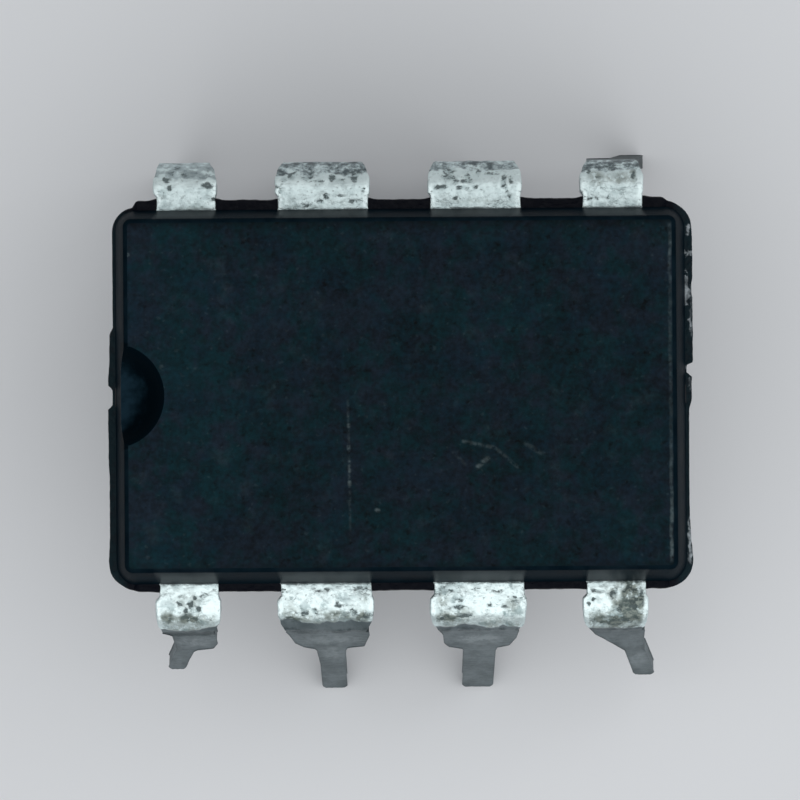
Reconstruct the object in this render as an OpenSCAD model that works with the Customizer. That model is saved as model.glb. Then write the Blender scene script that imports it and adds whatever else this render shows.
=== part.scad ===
// Eight-lead dual-in-line integrated circuit in a moulded plastic body, as taken off a board.
// Sizes are in millimetres. The origin is the middle of the lead pattern, on the board's surface.
// X runs along the body away from the notch, Y across it and Z up.

/* [Body] */
// Length of the body at its parting line
body_l = 9.5; // [9.3:0.05:9.8]
// Width of the body at its parting line
body_w = 6.25; // [6.1:0.05:6.45]
// Height of the body above the parting plane
upper_h = 1.7; // [1.5:0.05:1.9]
// Height of the body below the parting plane
lower_h = 1.6; // [1.4:0.05:1.8]
// Slope of the side walls from upright, in degrees
draft = 8; // [5:0.5:12]
// Rounding of the edges round the top face and the underside
edge_r = 0.1; // [0.06:0.01:0.14]
// Rounding of the flat faces' corners in plan
face_corner_r = 0.03; // [0.02:0.01:0.1]

/* [Notch] */
// Radius of the notch at the top face
notch_r = 0.84; // [0.7:0.02:0.9]
// Radius of the notch at its floor
notch_floor_r = 0.52; // [0.4:0.02:0.6]
// Depth of the notch below the top face
notch_depth = 0.6; // [0.4:0.05:0.8]
// Distance of the notch's middle from the body's end
notch_in = 0.04; // [0.02:0.02:0.2]

/* [Resin left at the parting line] */
// Reach of the ledge between the leads, on the side of leads 1 to 4
front_ledge = 0.12; // [0.06:0.01:0.16]
// Reach of the ledge between the leads, on the side of leads 5 to 8
back_ledge = 0.16; // [0.06:0.01:0.18]
// Thickness of the ledges
ledge_t = 0.2; // [0.12:0.01:0.2]
// Distance from the ledges' ends to the body's ends
ledge_end = 0.34; // [0.2:0.02:0.5]
// Reach of the lip at the notched end
notch_lip = 0.13; // [0.03:0.01:0.14]
// Reach of the lip at the other end
far_lip = 0.13; // [0.03:0.01:0.14]
// Thickness of both lips
lip_t = 0.06; // [0.04:0.01:0.1]

/* [Leads] */
// Distance between neighbouring leads
pitch = 2.54; // [2.5:0.01:2.58]
// Distance between the two rows of upright leads, middle to middle
row_span = 7.62; // [7.5:0.02:7.9]
// Thickness of the metal strip
lead_t = 0.25; // [0.22:0.01:0.3]
// Width of a lead at its shoulder
lead_w = 1.5; // [1.36:0.02:1.64]
// Width of a lead where its wide part ends
seat_w = 1.26; // [1:0.02:1.34]
// Width of a lead's tip
tip_w = 0.46; // [0.4:0.02:0.56]
// Inside radius of the bend
bend_r = 0.25; // [0.16:0.01:0.28]
// Width left on each side of a lead by the cut dam bar
stub = 0.03; // [0.01:0.01:0.08]
// Length of the slope from the wide part down to the tip
step_h = 0.22; // [0.1:0.02:0.4]
// Height of the body's underside above the board
stand_off = 0.5; // [0.38:0.02:0.7]
// Reach of the tips below the board's surface
tip_len = 3.25; // [2.9:0.05:3.6]
// Outward lean of leads 1 to 4, in degrees
front_angle = 13; // [0:0.5:16]
// Outward lean of leads 6 to 8, in degrees
back_angle = 1.5; // [0:0.5:6]
// Outward lean of lead 5, in degrees
lead_5_angle = 4.5; // [0:0.5:8]

/* [Bent and clipped tips] */
// Length missing from the tip of lead 1
lead_1_short = 1.5; // [0:0.1:1.8]
// Sideways bend of the tip of lead 1
lead_1_side = -0.18; // [-0.4:0.02:0.3]
// Length missing from the tip of lead 4
lead_4_short = 1; // [0:0.1:1.8]
// Sideways bend of the tip of lead 4
lead_4_side = 0.42; // [-0.3:0.02:0.5]
// Sideways bend of the tip of lead 5
lead_5_side = 0.28; // [-0.3:0.02:0.4]

/* [Inside] */
// Length of the pad under the chip
pad_l = 3.6; // [3.2:0.1:4]
// Width of the pad under the chip
pad_w = 2.6; // [2.4:0.1:3]
// Width of the two tie bars
tie_w = 0.3; // [0.25:0.05:0.6]
// Space between the fingers and the pad
finger_gap = 0.3; // [0.22:0.02:0.36]
// Width of a lead's finger inside the body
finger_w = 0.8; // [0.6:0.05:0.85]
// Distance from the body's side to where a lead starts to narrow
neck_in = 0.6; // [0.5:0.05:0.7]
// Length over which a lead narrows to its finger
neck_l = 0.3; // [0.2:0.05:0.4]
// Distance of a wire's foot from the end of its finger
foot_in = 0.32; // [0.24:0.02:0.4]
// Length of the chip
die_l = 2.2; // [1.8:0.1:2.6]
// Width of the chip
die_w = 1.6; // [1.4:0.1:2]
// Thickness of the chip
die_h = 0.3; // [0.2:0.02:0.4]
// Thickness of the adhesive under the chip
attach_t = 0.04; // [0.03:0.01:0.06]
// Reach of the adhesive round the chip
attach_rim = 0.1; // [0.04:0.02:0.14]
// Thickness of a bond wire
wire_d = 0.05; // [0.04:0.005:0.06]
// Height of a bond wire's loop above the chip
loop_h = 0.35; // [0.25:0.05:0.5]
// Distance of a wire's ball from the chip's edge
ball_in = 0.18; // [0.12:0.02:0.24]

/* [Hidden] */
$fn = 64;
join = 0.0002;
ease = lead_t / 100;
overlap = lead_t / 10;
row_count = 4;
lead_count = 2 * row_count;
part_z = stand_off + lower_h;
top_z = part_z + upper_h;
strip_top = part_z + lead_t / 2;
least_corner_r = face_corner_r + edge_r / cos(draft) + (max(upper_h, lower_h) - edge_r) * tan(draft);
corner_r = ceil(100 * least_corner_r) / 100;
core_l = body_l - 2 * corner_r;
core_w = body_w - 2 * corner_r;
bend_y = row_span / 2 - lead_t / 2 - bend_r;
bend_z = part_z - lead_t / 2 - bend_r;
finger_y = pad_w / 2 + finger_gap;
neck_y = body_w / 2 - neck_in;
neck_end = neck_y - neck_l;
arm_x = pad_l / 2 + finger_gap;
arm_y = tie_w / 2 + finger_gap;
die_top = strip_top + attach_t + die_h;
ball_d = 2.6 * wire_d;
ball_h = 0.8 * wire_d;
foot_l = 4 * wire_d;
foot_w = 2 * wire_d;
foot_h = wire_d;
landing = 6 * wire_d;
wire_sides = 8;
wire_steps = 14;

moulded_body();
for (pin = [1:lead_count]) lead(pin);
die_pad();
die_attach();
die();
for (pin = [1:lead_count]) bond_wire(pin);

// Leads 1 to 4 run along the front row away from the notch and leads 5 to 8 come back along the other.
function in_front(pin) = pin <= row_count;
function column(pin) = in_front(pin) ? pin - 1 : lead_count - pin;
function lead_x(pin) = (column(pin) - (row_count - 1) / 2) * pitch;
function row_sign(pin) = in_front(pin) ? -1 : 1;
function at_corner(pin) = column(pin) == 0 || column(pin) == row_count - 1;
function end_sign(pin) = lead_x(pin) < 0 ? -1 : 1;
function lean(pin) = in_front(pin) ? front_angle : pin == 5 ? lead_5_angle : back_angle;
function missing(pin) = pin == 1 ? lead_1_short : pin == 4 ? lead_4_short : 0;
function sideways(pin) = pin == 1 ? lead_1_side : pin == 4 ? lead_4_side : pin == 5 ? lead_5_side : 0;

// A corner lead has its full half width only on the side towards the next lead.
function half_left(pin, w) = column(pin) == 0 ? tip_w / 2 : w / 2;
function half_right(pin, w) = column(pin) == row_count - 1 ? tip_w / 2 : w / 2;

// Section of a side wall, out from the axis of a corner and up from the parting plane.
module wall_section(h) {
    round_y = h - edge_r;
    round_x = corner_r - round_y * tan(draft) - edge_r / cos(draft);
    side_x = round_x + (edge_r - join) * cos(draft);
    side_y = round_y + (edge_r - join) * sin(draft);
    polygon([[0, 0], [corner_r, 0], [side_x, side_y], [round_x, round_y], [round_x, h], [0, h]]);
    translate([round_x, round_y]) intersection() {
        circle(r = edge_r);
        square(2 * edge_r);
    }
}

// One half of the body, standing on the parting plane.
module half_body(h) {
    translate([-core_l / 2, -core_w / 2, 0]) cube([core_l, core_w, h]);
    for (turn = [0, 180]) rotate(turn) {
        translate([-core_l / 2, core_w / 2, 0]) rotate([90, 0, 90]) linear_extrude(core_l) wall_section(h);
        translate([core_l / 2, core_w / 2, 0]) rotate([90, 0, 0]) linear_extrude(core_w) wall_section(h);
        translate([core_l / 2, core_w / 2, 0]) rotate_extrude(angle = 90) wall_section(h);
        translate([-core_l / 2, core_w / 2, 0]) rotate(90) rotate_extrude(angle = 90) wall_section(h);
    }
}

// Resin between the leads that filled the frame up to its dam bars.
module ledges() {
    span = body_l - 2 * ledge_end;
    wide = body_w + front_ledge + back_ledge;
    translate([-span / 2, -body_w / 2 - front_ledge, part_z - ledge_t / 2]) cube([span, wide, ledge_t]);
}

// Thin flash at the two ends, broken where the tie bars come out.
module lips() {
    long = body_l + notch_lip + far_lip;
    length = core_w / 2 - tie_w / 2;
    for (side = [-1, 1]) {
        low = side < 0 ? -core_w / 2 : tie_w / 2;
        translate([-body_l / 2 - notch_lip, low, part_z - lip_t / 2]) cube([long, length, lip_t]);
    }
}

// Half-moon notch, narrower at its floor.
module notch() {
    rise = 1.3 * notch_depth;
    wide_r = notch_floor_r + rise * (notch_r - notch_floor_r) / notch_depth;
    translate([-body_l / 2 + notch_in, 0, top_z - notch_depth]) rotate(180)
        cylinder(h = rise, r1 = notch_floor_r, r2 = wide_r);
}

module moulded_body() {
    color([0.07, 0.08, 0.09]) difference() {
        union() {
            difference() {
                translate([0, 0, part_z]) half_body(upper_h);
                notch();
            }
            translate([0, 0, part_z]) mirror([0, 0, 1]) half_body(lower_h);
            ledges();
            lips();
        }
        for (pin = [1:lead_count]) lead_shape(pin);
        pad_shape();
        attach_shape();
        die_shape();
        for (pin = [1:lead_count]) wire_shape(pin);
    }
}

// Flat part of a lead in plan: the finger inside the body and the shoulder up to the bend.
module straight_plan(pin) {
    left = lead_x(pin) - half_left(pin, lead_w);
    right = lead_x(pin) + half_right(pin, lead_w);
    polygon([
        [left, bend_y], [left, neck_y],
        [lead_x(pin) - finger_w / 2, neck_end], [lead_x(pin) - finger_w / 2, finger_y],
        [lead_x(pin) + finger_w / 2, finger_y], [lead_x(pin) + finger_w / 2, neck_end],
        [right, neck_y], [right, bend_y]
    ]);
}

// The same for a lead at a corner, whose finger turns in towards the end of the pad.
module corner_plan(pin) {
    s = end_sign(pin);
    x = abs(lead_x(pin));
    outer = x + tip_w / 2;
    inner = x - lead_w / 2;
    leg_out = inner + finger_w;
    polygon([
        [s * outer, bend_y], [s * outer, neck_y],
        [s * leg_out, neck_end], [s * leg_out, arm_y],
        [s * arm_x, arm_y], [s * arm_x, arm_y + finger_w],
        [s * inner, arm_y + finger_w], [s * inner, bend_y]
    ]);
}

// Part of a lead past the bend, laid flat, with Y running down towards the tip. It starts inside the bend.
module blade_plan(pin) {
    turn = 90 - lean(pin);
    seat = (bend_z + bend_r * cos(turn)) / sin(turn);
    end = seat + tip_len / sin(turn) - missing(pin);
    half = tip_w / 2;
    push = sideways(pin);
    translate([lead_x(pin), 0]) polygon([
        [-half_left(pin, lead_w), -overlap], [-half_left(pin, seat_w), seat],
        [-half, seat + step_h], [push - half, end],
        [push + half, end], [half, seat + step_h],
        [half_right(pin, seat_w), seat], [half_right(pin, lead_w), -overlap]
    ]);
}

// A lead of the back row. The front row is its mirror image.
module lead_in_row(pin) {
    turn = 90 - lean(pin);
    low = -lead_x(pin) - half_right(pin, lead_w) - stub;
    width = half_left(pin, lead_w) + half_right(pin, lead_w) + 2 * stub;
    translate([0, 0, part_z - lead_t / 2]) linear_extrude(lead_t) {
        if (at_corner(pin)) corner_plan(pin);
        else straight_plan(pin);
    }
    translate([0, bend_y, bend_z]) {
        rotate([0, -90, 0]) rotate_extrude(angle = turn) translate([bend_r, low]) square([lead_t, width]);
        rotate([-turn, 0, 0]) translate([0, 0, bend_r + ease]) linear_extrude(lead_t - 2 * ease)
            blade_plan(pin);
    }
}

module lead_shape(pin) {
    if (in_front(pin)) mirror([0, 1, 0]) lead_in_row(pin);
    else lead_in_row(pin);
}

module lead(pin) {
    color([0.78, 0.79, 0.8]) lead_shape(pin);
}

// Pad with its two tie bars, which end flush with the body.
module pad_shape() {
    translate([-pad_l / 2, -pad_w / 2, part_z - lead_t / 2]) cube([pad_l, pad_w, lead_t]);
    translate([-body_l / 2, -tie_w / 2, part_z - lead_t / 2]) cube([body_l, tie_w, lead_t]);
}

module die_pad() {
    color([0.72, 0.5, 0.36]) pad_shape();
}

module attach_shape() {
    long = die_l + 2 * attach_rim;
    wide = die_w + 2 * attach_rim;
    translate([-long / 2, -wide / 2, strip_top]) cube([long, wide, attach_t]);
}

module die_attach() {
    color([0.6, 0.6, 0.58]) attach_shape();
}

module die_shape() {
    translate([-die_l / 2, -die_w / 2, strip_top + attach_t]) cube([die_l, die_w, die_h]);
}

module die() {
    color([0.3, 0.32, 0.36]) die_shape();
}

// Where a wire starts on the chip and where it ends on its lead's finger.
function bond_start(pin) = at_corner(pin)
    ? [end_sign(pin) * (die_l / 2 - ball_in), row_sign(pin) * die_w / 5, die_top]
    : [end_sign(pin) * die_l / 5, row_sign(pin) * (die_w / 2 - ball_in), die_top];
function bond_end(pin) = at_corner(pin)
    ? [end_sign(pin) * (arm_x + foot_in), row_sign(pin) * (arm_y + finger_w / 2), strip_top]
    : [lead_x(pin), row_sign(pin) * (finger_y + foot_in), strip_top];

function curve(p, t) = pow(1 - t, 3) * p[0] + 3 * t * pow(1 - t, 2) * p[1]
    + 3 * t * t * (1 - t) * p[2] + pow(t, 3) * p[3];
function curve_way(p, t) = pow(1 - t, 2) * (p[1] - p[0]) + 2 * t * (1 - t) * (p[2] - p[1])
    + t * t * (p[3] - p[2]);
function unit(v) = v / norm(v);

// Wire with its ball on the chip and its flattened foot on the finger.
module wire_shape(pin) {
    start = bond_start(pin);
    end = bond_end(pin);
    along = unit([end.x - start.x, end.y - start.y, 0]);
    across = [-along.y, along.x, 0];
    run = [
        start + [0, 0, ball_h / 2],
        start + [0, 0, ball_h + 1.3 * loop_h],
        end - landing * along + [0, 0, loop_h],
        end + [0, 0, 0.6 * foot_h]
    ];
    rings = [for (i = [0:wire_steps]) let (
        t = i / wire_steps,
        mid = curve(run, t),
        up = cross(across, unit(curve_way(run, t)))
    ) [for (k = [0:wire_sides - 1]) let (a = (k + 0.5) * 360 / wire_sides)
        mid + wire_d / 2 * (cos(a) * across + sin(a) * up)]];
    last = wire_steps * wire_sides;
    sides = [for (i = [0:wire_steps - 1], k = [0:wire_sides - 1], half = [0, 1]) let (
        a = i * wire_sides + k,
        b = i * wire_sides + (k + 1) % wire_sides
    ) half == 0 ? [a, b, b + wire_sides] : [a, b + wire_sides, a + wire_sides]];
    caps = [
        [for (k = [wire_sides - 1:-1:0]) k],
        [for (k = [0:wire_sides - 1]) last + k]
    ];
    polyhedron(points = [for (ring = rings) each ring], faces = concat(sides, caps));
    translate(start) cylinder(h = ball_h, d = ball_d, $fn = wire_sides);
    translate(end) rotate(atan2(along.y, along.x)) translate([-foot_l / 2, -foot_w / 2, 0])
        cube([foot_l, foot_w, foot_h]);
}

module bond_wire(pin) {
    color([0.85, 0.68, 0.25]) wire_shape(pin);
}
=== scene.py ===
"""Looks of an eight-lead dual-in-line integrated circuit that was taken off a board.

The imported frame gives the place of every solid. The moulded body and the eight leads are made
anew here, with the flash, the notch, the solder and the wear of the real ones. The chip, its pad,
its adhesive and its wires keep their solids and get a finish. Sizes are in millimetres until a
finished mesh is brought to metres.
"""

import logging
import math
from collections.abc import Callable, Iterable
from dataclasses import dataclass
from enum import Enum
from functools import cached_property, reduce

import bmesh
import bpy
from mathutils import Matrix, Vector, noise


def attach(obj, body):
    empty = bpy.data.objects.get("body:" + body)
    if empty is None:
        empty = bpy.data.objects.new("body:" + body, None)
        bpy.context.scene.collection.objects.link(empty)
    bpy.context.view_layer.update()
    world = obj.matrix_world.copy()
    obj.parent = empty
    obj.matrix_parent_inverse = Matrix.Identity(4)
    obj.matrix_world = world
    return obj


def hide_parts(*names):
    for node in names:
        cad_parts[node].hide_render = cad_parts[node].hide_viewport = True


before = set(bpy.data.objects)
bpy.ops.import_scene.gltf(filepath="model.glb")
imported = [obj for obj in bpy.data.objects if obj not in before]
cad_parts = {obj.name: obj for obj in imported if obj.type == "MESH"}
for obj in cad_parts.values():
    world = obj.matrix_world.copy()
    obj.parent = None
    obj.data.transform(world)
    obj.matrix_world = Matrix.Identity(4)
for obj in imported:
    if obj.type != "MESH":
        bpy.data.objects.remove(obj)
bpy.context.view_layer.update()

Colour = tuple[float, float, float, float]
Triple = tuple[float, float, float]
Span = tuple[float, float]
Stops = tuple[Span, ...]
Place = Callable[[Vector, Vector], Span]

LOG = logging.getLogger("integrated_circuit")
MM = 0.001
ROOT = "root"
# Edges sharper than this, and all edges of faces larger than this, aren't shaded smooth.
SHARP_ANGLE = math.radians(38)
BROAD_AREA = 2.0
# A face counts as level, and an edge as upright, from this share of its full height.
LEVEL = 0.95
# Two places closer than this count as one.
TOUCH = 1e-3
# Shares of a seed that shift a noise along Y and Z.
SEED_Y = 1.7
SEED_Z = 0.6
# Distance from a mark's middle, in its own size, where it has faded out and where it is full.
MARK_FADE: Span = (1.6, 0.4)
# Heights between which the wear of the upper face sets in.
TOP_RISE: Span = (3.6, 3.75)
# Edges of the leads along the body, from the notch's end.
LEAD_EDGES: tuple[float, ...] = (-4.04, -3.06, -2.02, -0.52, 0.52, 2.02, 3.06, 4.04)
LEADS_A_ROW = 4
# Numbers that a lead's mesh carries on its points for its finish.
NOTES = ("along", "coat", "crease", "pit", "stain", "scuff", "rim", "tip_shade")


class Slot(Enum):
    """Names of material slots for the pieces that are made anew, which the script does not use."""

    EPOXY = "epoxy"
    TIN = "tinned_metal"


class Row(Enum):
    """The two rows of leads, with the sign of their side."""

    FRONT = -1
    BACK = 1


class Skin(Enum):
    """Finishes of the body's faces, with the number of their material."""

    FACE = 0
    WALL = 1
    FLASH = 2


def ramp(value: float, low: float, high: float) -> float:
    """Smooth step from 0 at low to 1 at high, where high may be the smaller one.

    Args:
        value: Number to place on the step.
        low: Where the step is still 0.
        high: Where the step has become 1.

    Returns:
        A number from 0 to 1.
    """
    share = min(1.0, max(0.0, (value - low) / (high - low)))
    return share * share * (3 - 2 * share)


def ramp_at(value: float, place: float, fade: Span) -> float:
    """Smooth step whose ends are given from a place."""
    return ramp(value, place + fade[0], place + fade[1])


def table(stops: Iterable[Span], at: float) -> float:
    """Straight interpolation in a table of (place, value) stops.

    Args:
        stops: Stops in rising order of place.
        at: Place to read.

    Returns:
        The value there, held level beyond the first and last stop.
    """
    before = None
    for place, value in stops:
        if at <= place:
            if before is None:
                return value
            share = (at - before[0]) / (place - before[0])
            return before[1] + share * (value - before[1])
        before = (place, value)
    return before[1]


def rough(point: Vector, scale: float, seed: float) -> float:
    """Even noise from -1 to 1 at a point, with about scale waves per millimetre."""
    return noise.noise(point * scale + Vector((seed, SEED_Y * seed, SEED_Z * seed)))


def only(geom: Iterable[object], kind: type) -> list:
    """The elements of one kind among those that an operator returned."""
    return [item for item in geom if isinstance(item, kind)]


@dataclass(frozen=True)
class Grain:
    """A cloudy noise from 0 to 1, which a smooth step may sharpen.

    Attributes:
        scale: Waves per millimetre.
        detail: Octaves of finer noise.
        seed: Shift that makes one noise differ from another.
        step: Where the step is still 0 and where it has become 1, if there is one.
        stretch: Factors on the scale along X, Y and Z.
        crisp: Strength of each finer octave beside the one before.
    """

    scale: float
    detail: float
    seed: float
    step: Span | None = None
    stretch: Triple = (1, 1, 1)
    crisp: float = 0.5


@dataclass(frozen=True)
class Signal:
    """A value, colour or vector that runs through the nodes of a material."""

    net: "Net"
    socket: bpy.types.NodeSocket | None

    def __add__(self, other: "Signal | float") -> "Signal":
        """Sum."""
        return self.net.math("ADD", self, other)

    def __radd__(self, other: float) -> "Signal":
        """Sum with a number in front."""
        return self.net.math("ADD", other, self)

    def __sub__(self, other: "Signal | float") -> "Signal":
        """Difference."""
        return self.net.math("SUBTRACT", self, other)

    def __rsub__(self, other: float) -> "Signal":
        """Difference from a number."""
        return self.net.math("SUBTRACT", other, self)

    def __mul__(self, other: "Signal | float") -> "Signal":
        """Product."""
        return self.net.math("MULTIPLY", self, other)

    def __rmul__(self, other: float) -> "Signal":
        """Product with a number in front."""
        return self.net.math("MULTIPLY", other, self)

    def __abs__(self) -> "Signal":
        """Size without the sign."""
        return self.net.math("ABSOLUTE", self)

    def or_more(self, other: "Signal | float") -> "Signal":
        """The larger of the two."""
        return self.net.math("MAXIMUM", self, other)

    def swing(self, share: float) -> "Signal":
        """How far the value is above or below its middle of 0.5, times a share."""
        return share * (self - 0.5)

    def limited(self) -> "Signal":
        """The value kept from 0 to 1."""
        return self.net.node("ShaderNodeClamp", inputs={"Value": self})

    def step(self, low: float, high: float) -> "Signal":
        """Smooth step from 0 at low to 1 at high, where high may be the smaller one."""
        values = {"Value": self, "From Min": low, "From Max": high}
        return self.net.node("ShaderNodeMapRange", {"interpolation_type": "SMOOTHSTEP"}, values)


def strongest(masks: Iterable[Signal]) -> Signal:
    """The largest of several masks at each place."""
    return reduce(Signal.or_more, masks)


class Net:
    """The nodes of one material."""

    def __init__(self, name: str) -> None:
        """Starts an empty material.

        Args:
            name: Name of the material.
        """
        self.material = bpy.data.materials.new(name)
        self.material.use_nodes = True
        self.tree = self.material.node_tree
        self.tree.nodes.clear()
        self._axes: dict[str, Signal] = {}

    @cached_property
    def point(self) -> Signal:
        """The piece's own place in millimetres."""
        metres = self.node("ShaderNodeTexCoord", out="Object")
        return self.node("ShaderNodeVectorMath", {"operation": "SCALE"}, {0: metres, "Scale": 1 / MM})

    @cached_property
    def flat(self) -> Signal:
        """The point with its height taken away."""
        return self.vector("MULTIPLY", self.point, (1, 1, 0))

    def axis(self, name: str) -> Signal:
        """One coordinate of the point, in millimetres.

        Args:
            name: X, Y or Z.

        Returns:
            The coordinate, which is split off once.
        """
        if name not in self._axes:
            self._axes[name] = self.node("ShaderNodeSeparateXYZ", inputs={0: self.point}, out=name)
        return self._axes[name]

    def node(
        self,
        kind: str,
        settings: dict[str, object] | None = None,
        inputs: dict[str | int, object] | None = None,
        out: str | int = 0,
    ) -> Signal:
        """Adds one node.

        Args:
            kind: Type of the node.
            settings: Its own settings, set before the sockets.
            inputs: Values or signals of its sockets, by name or number.
            out: Socket that the result comes from.

        Returns:
            The chosen output, or an empty signal from a node without outputs.
        """
        made = self.tree.nodes.new(kind)
        for key, value in (settings or {}).items():
            setattr(made, key, value)
        for key, value in (inputs or {}).items():
            if isinstance(value, Signal):
                self.tree.links.new(value.socket, made.inputs[key])
            else:
                made.inputs[key].default_value = value
        return Signal(self, made.outputs[out] if made.outputs else None)

    def math(self, operation: str, *terms: Signal | float) -> Signal:
        """One Math node on values."""
        return self.node("ShaderNodeMath", {"operation": operation}, dict(enumerate(terms)))

    def vector(self, operation: str, *terms: Signal | Triple, out: int = 0) -> Signal:
        """One Vector Math node."""
        return self.node("ShaderNodeVectorMath", {"operation": operation}, dict(enumerate(terms)), out)

    def grain(self, grain: Grain) -> Signal:
        """A cloudy noise.

        Args:
            grain: What it looks like.

        Returns:
            The noise from 0 to 1, past its step where it has one.
        """
        shift = (grain.seed, 2 * grain.seed, 3 * grain.seed)
        move = {0: self.point, "Location": shift, "Scale": grain.stretch}
        place = self.node("ShaderNodeMapping", inputs=move)
        values = {"Vector": place, "Scale": grain.scale, "Detail": grain.detail, "Roughness": grain.crisp}
        made = self.node("ShaderNodeTexNoise", inputs=values)
        return made.step(*grain.step) if grain.step else made

    def attribute(self, name: str) -> Signal:
        """A number that the mesh carries on its points."""
        return self.node("ShaderNodeAttribute", {"attribute_name": name}, out="Fac")

    def mix(self, share: Signal, low: Signal | Colour, high: Signal | Colour) -> Signal:
        """Colour between low and high by the share."""
        return self.node("ShaderNodeMix", {"data_type": "RGBA"}, {0: share, 6: low, 7: high}, out=2)

    def shaded(self, colour: Signal, tone: Signal) -> Signal:
        """A colour made lighter or darker.

        Args:
            colour: Colour to change.
            tone: Factor on all three of its channels.

        Returns:
            The changed colour.
        """
        even = self.node("ShaderNodeCombineColor", inputs={0: tone, 1: tone, 2: tone})
        multiply = {"data_type": "RGBA", "blend_type": "MULTIPLY"}
        return self.node("ShaderNodeMix", multiply, {0: 1.0, 6: colour, 7: even}, out=2)

    def bump(self, height: Signal, depth: float, strength: float) -> Signal:
        """Normal of a relief whose height of 1 stands for depth in millimetres."""
        values = {"Height": height, "Distance": depth * MM, "Strength": strength}
        return self.node("ShaderNodeBump", inputs=values, out="Normal")

    def surface(self, **sockets: object) -> bpy.types.Material:
        """Ends the material in one Principled shader.

        Args:
            sockets: Values or signals of its sockets, with _ for the spaces in their names.

        Returns:
            The finished material.
        """
        values = {key.replace("_", " "): value for key, value in sockets.items()}
        shader = self.node("ShaderNodeBsdfPrincipled", inputs=values)
        self.node("ShaderNodeOutputMaterial", inputs={"Surface": shader})
        return self.material


@dataclass(frozen=True)
class Stroke:
    """A scratch, scuff or chip on the resin, from one point to another."""

    start: Span
    end: Span
    width: float
    strength: float

    def mask(self, net: Net, flat: Signal) -> Signal:
        """Strength of the stroke over the surface.

        Args:
            net: Nodes of the material.
            flat: Point with its height taken away.

        Returns:
            The strength, 0 away from the stroke.
        """
        run = (self.end[0] - self.start[0], self.end[1] - self.start[1], 0.0)
        size = run[0] ** 2 + run[1] ** 2
        away = net.vector("SUBTRACT", flat, (*self.start, 0.0))
        share = net.vector("DOT_PRODUCT", away, tuple(c / size for c in run), out=1).limited()
        along = net.node("ShaderNodeVectorMath", {"operation": "SCALE"}, {0: run, "Scale": share})
        gap = net.vector("DISTANCE", away, along, out=1)
        return gap.step(self.width, 0.0) * self.strength


@dataclass(frozen=True)
class EdgeHighlight:
    """Painted highlight along the top edge at the end away from the notch, strongest at the front."""

    x: float = 4.410
    line: Span = (0.042, 0.008)
    ends: Span = (2.80, 2.72)
    front: Span = (-0.6, -2.4)
    back_y: float = 2.35
    back: Span = (0.30, 0.05)
    waver: Grain = Grain(4.0, 3.0, 14.6)
    # Uneven strength along the painted highlight.
    scuffs_and_highlight_breaks: Grain = Grain(7.0, 4.0, 9.4, (0.36, 0.64))

    def mask(self, net: Net) -> Signal:
        """Strength of the wear over the surface.

        Args:
            net: Nodes of the material.

        Returns:
            The strength, 0 away from the line.
        """
        line = abs(net.axis("X") - self.x + net.grain(self.waver).swing(0.06)).step(*self.line)
        inside = abs(net.axis("Y")).step(*self.ends)
        front = net.axis("Y").step(*self.front) * 0.46
        back = abs(net.axis("Y") - self.back_y).step(*self.back) * 0.24
        return line * inside * (0.24 + front + back) * (0.35 + 1.1 * net.grain(self.scuffs_and_highlight_breaks))


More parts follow.
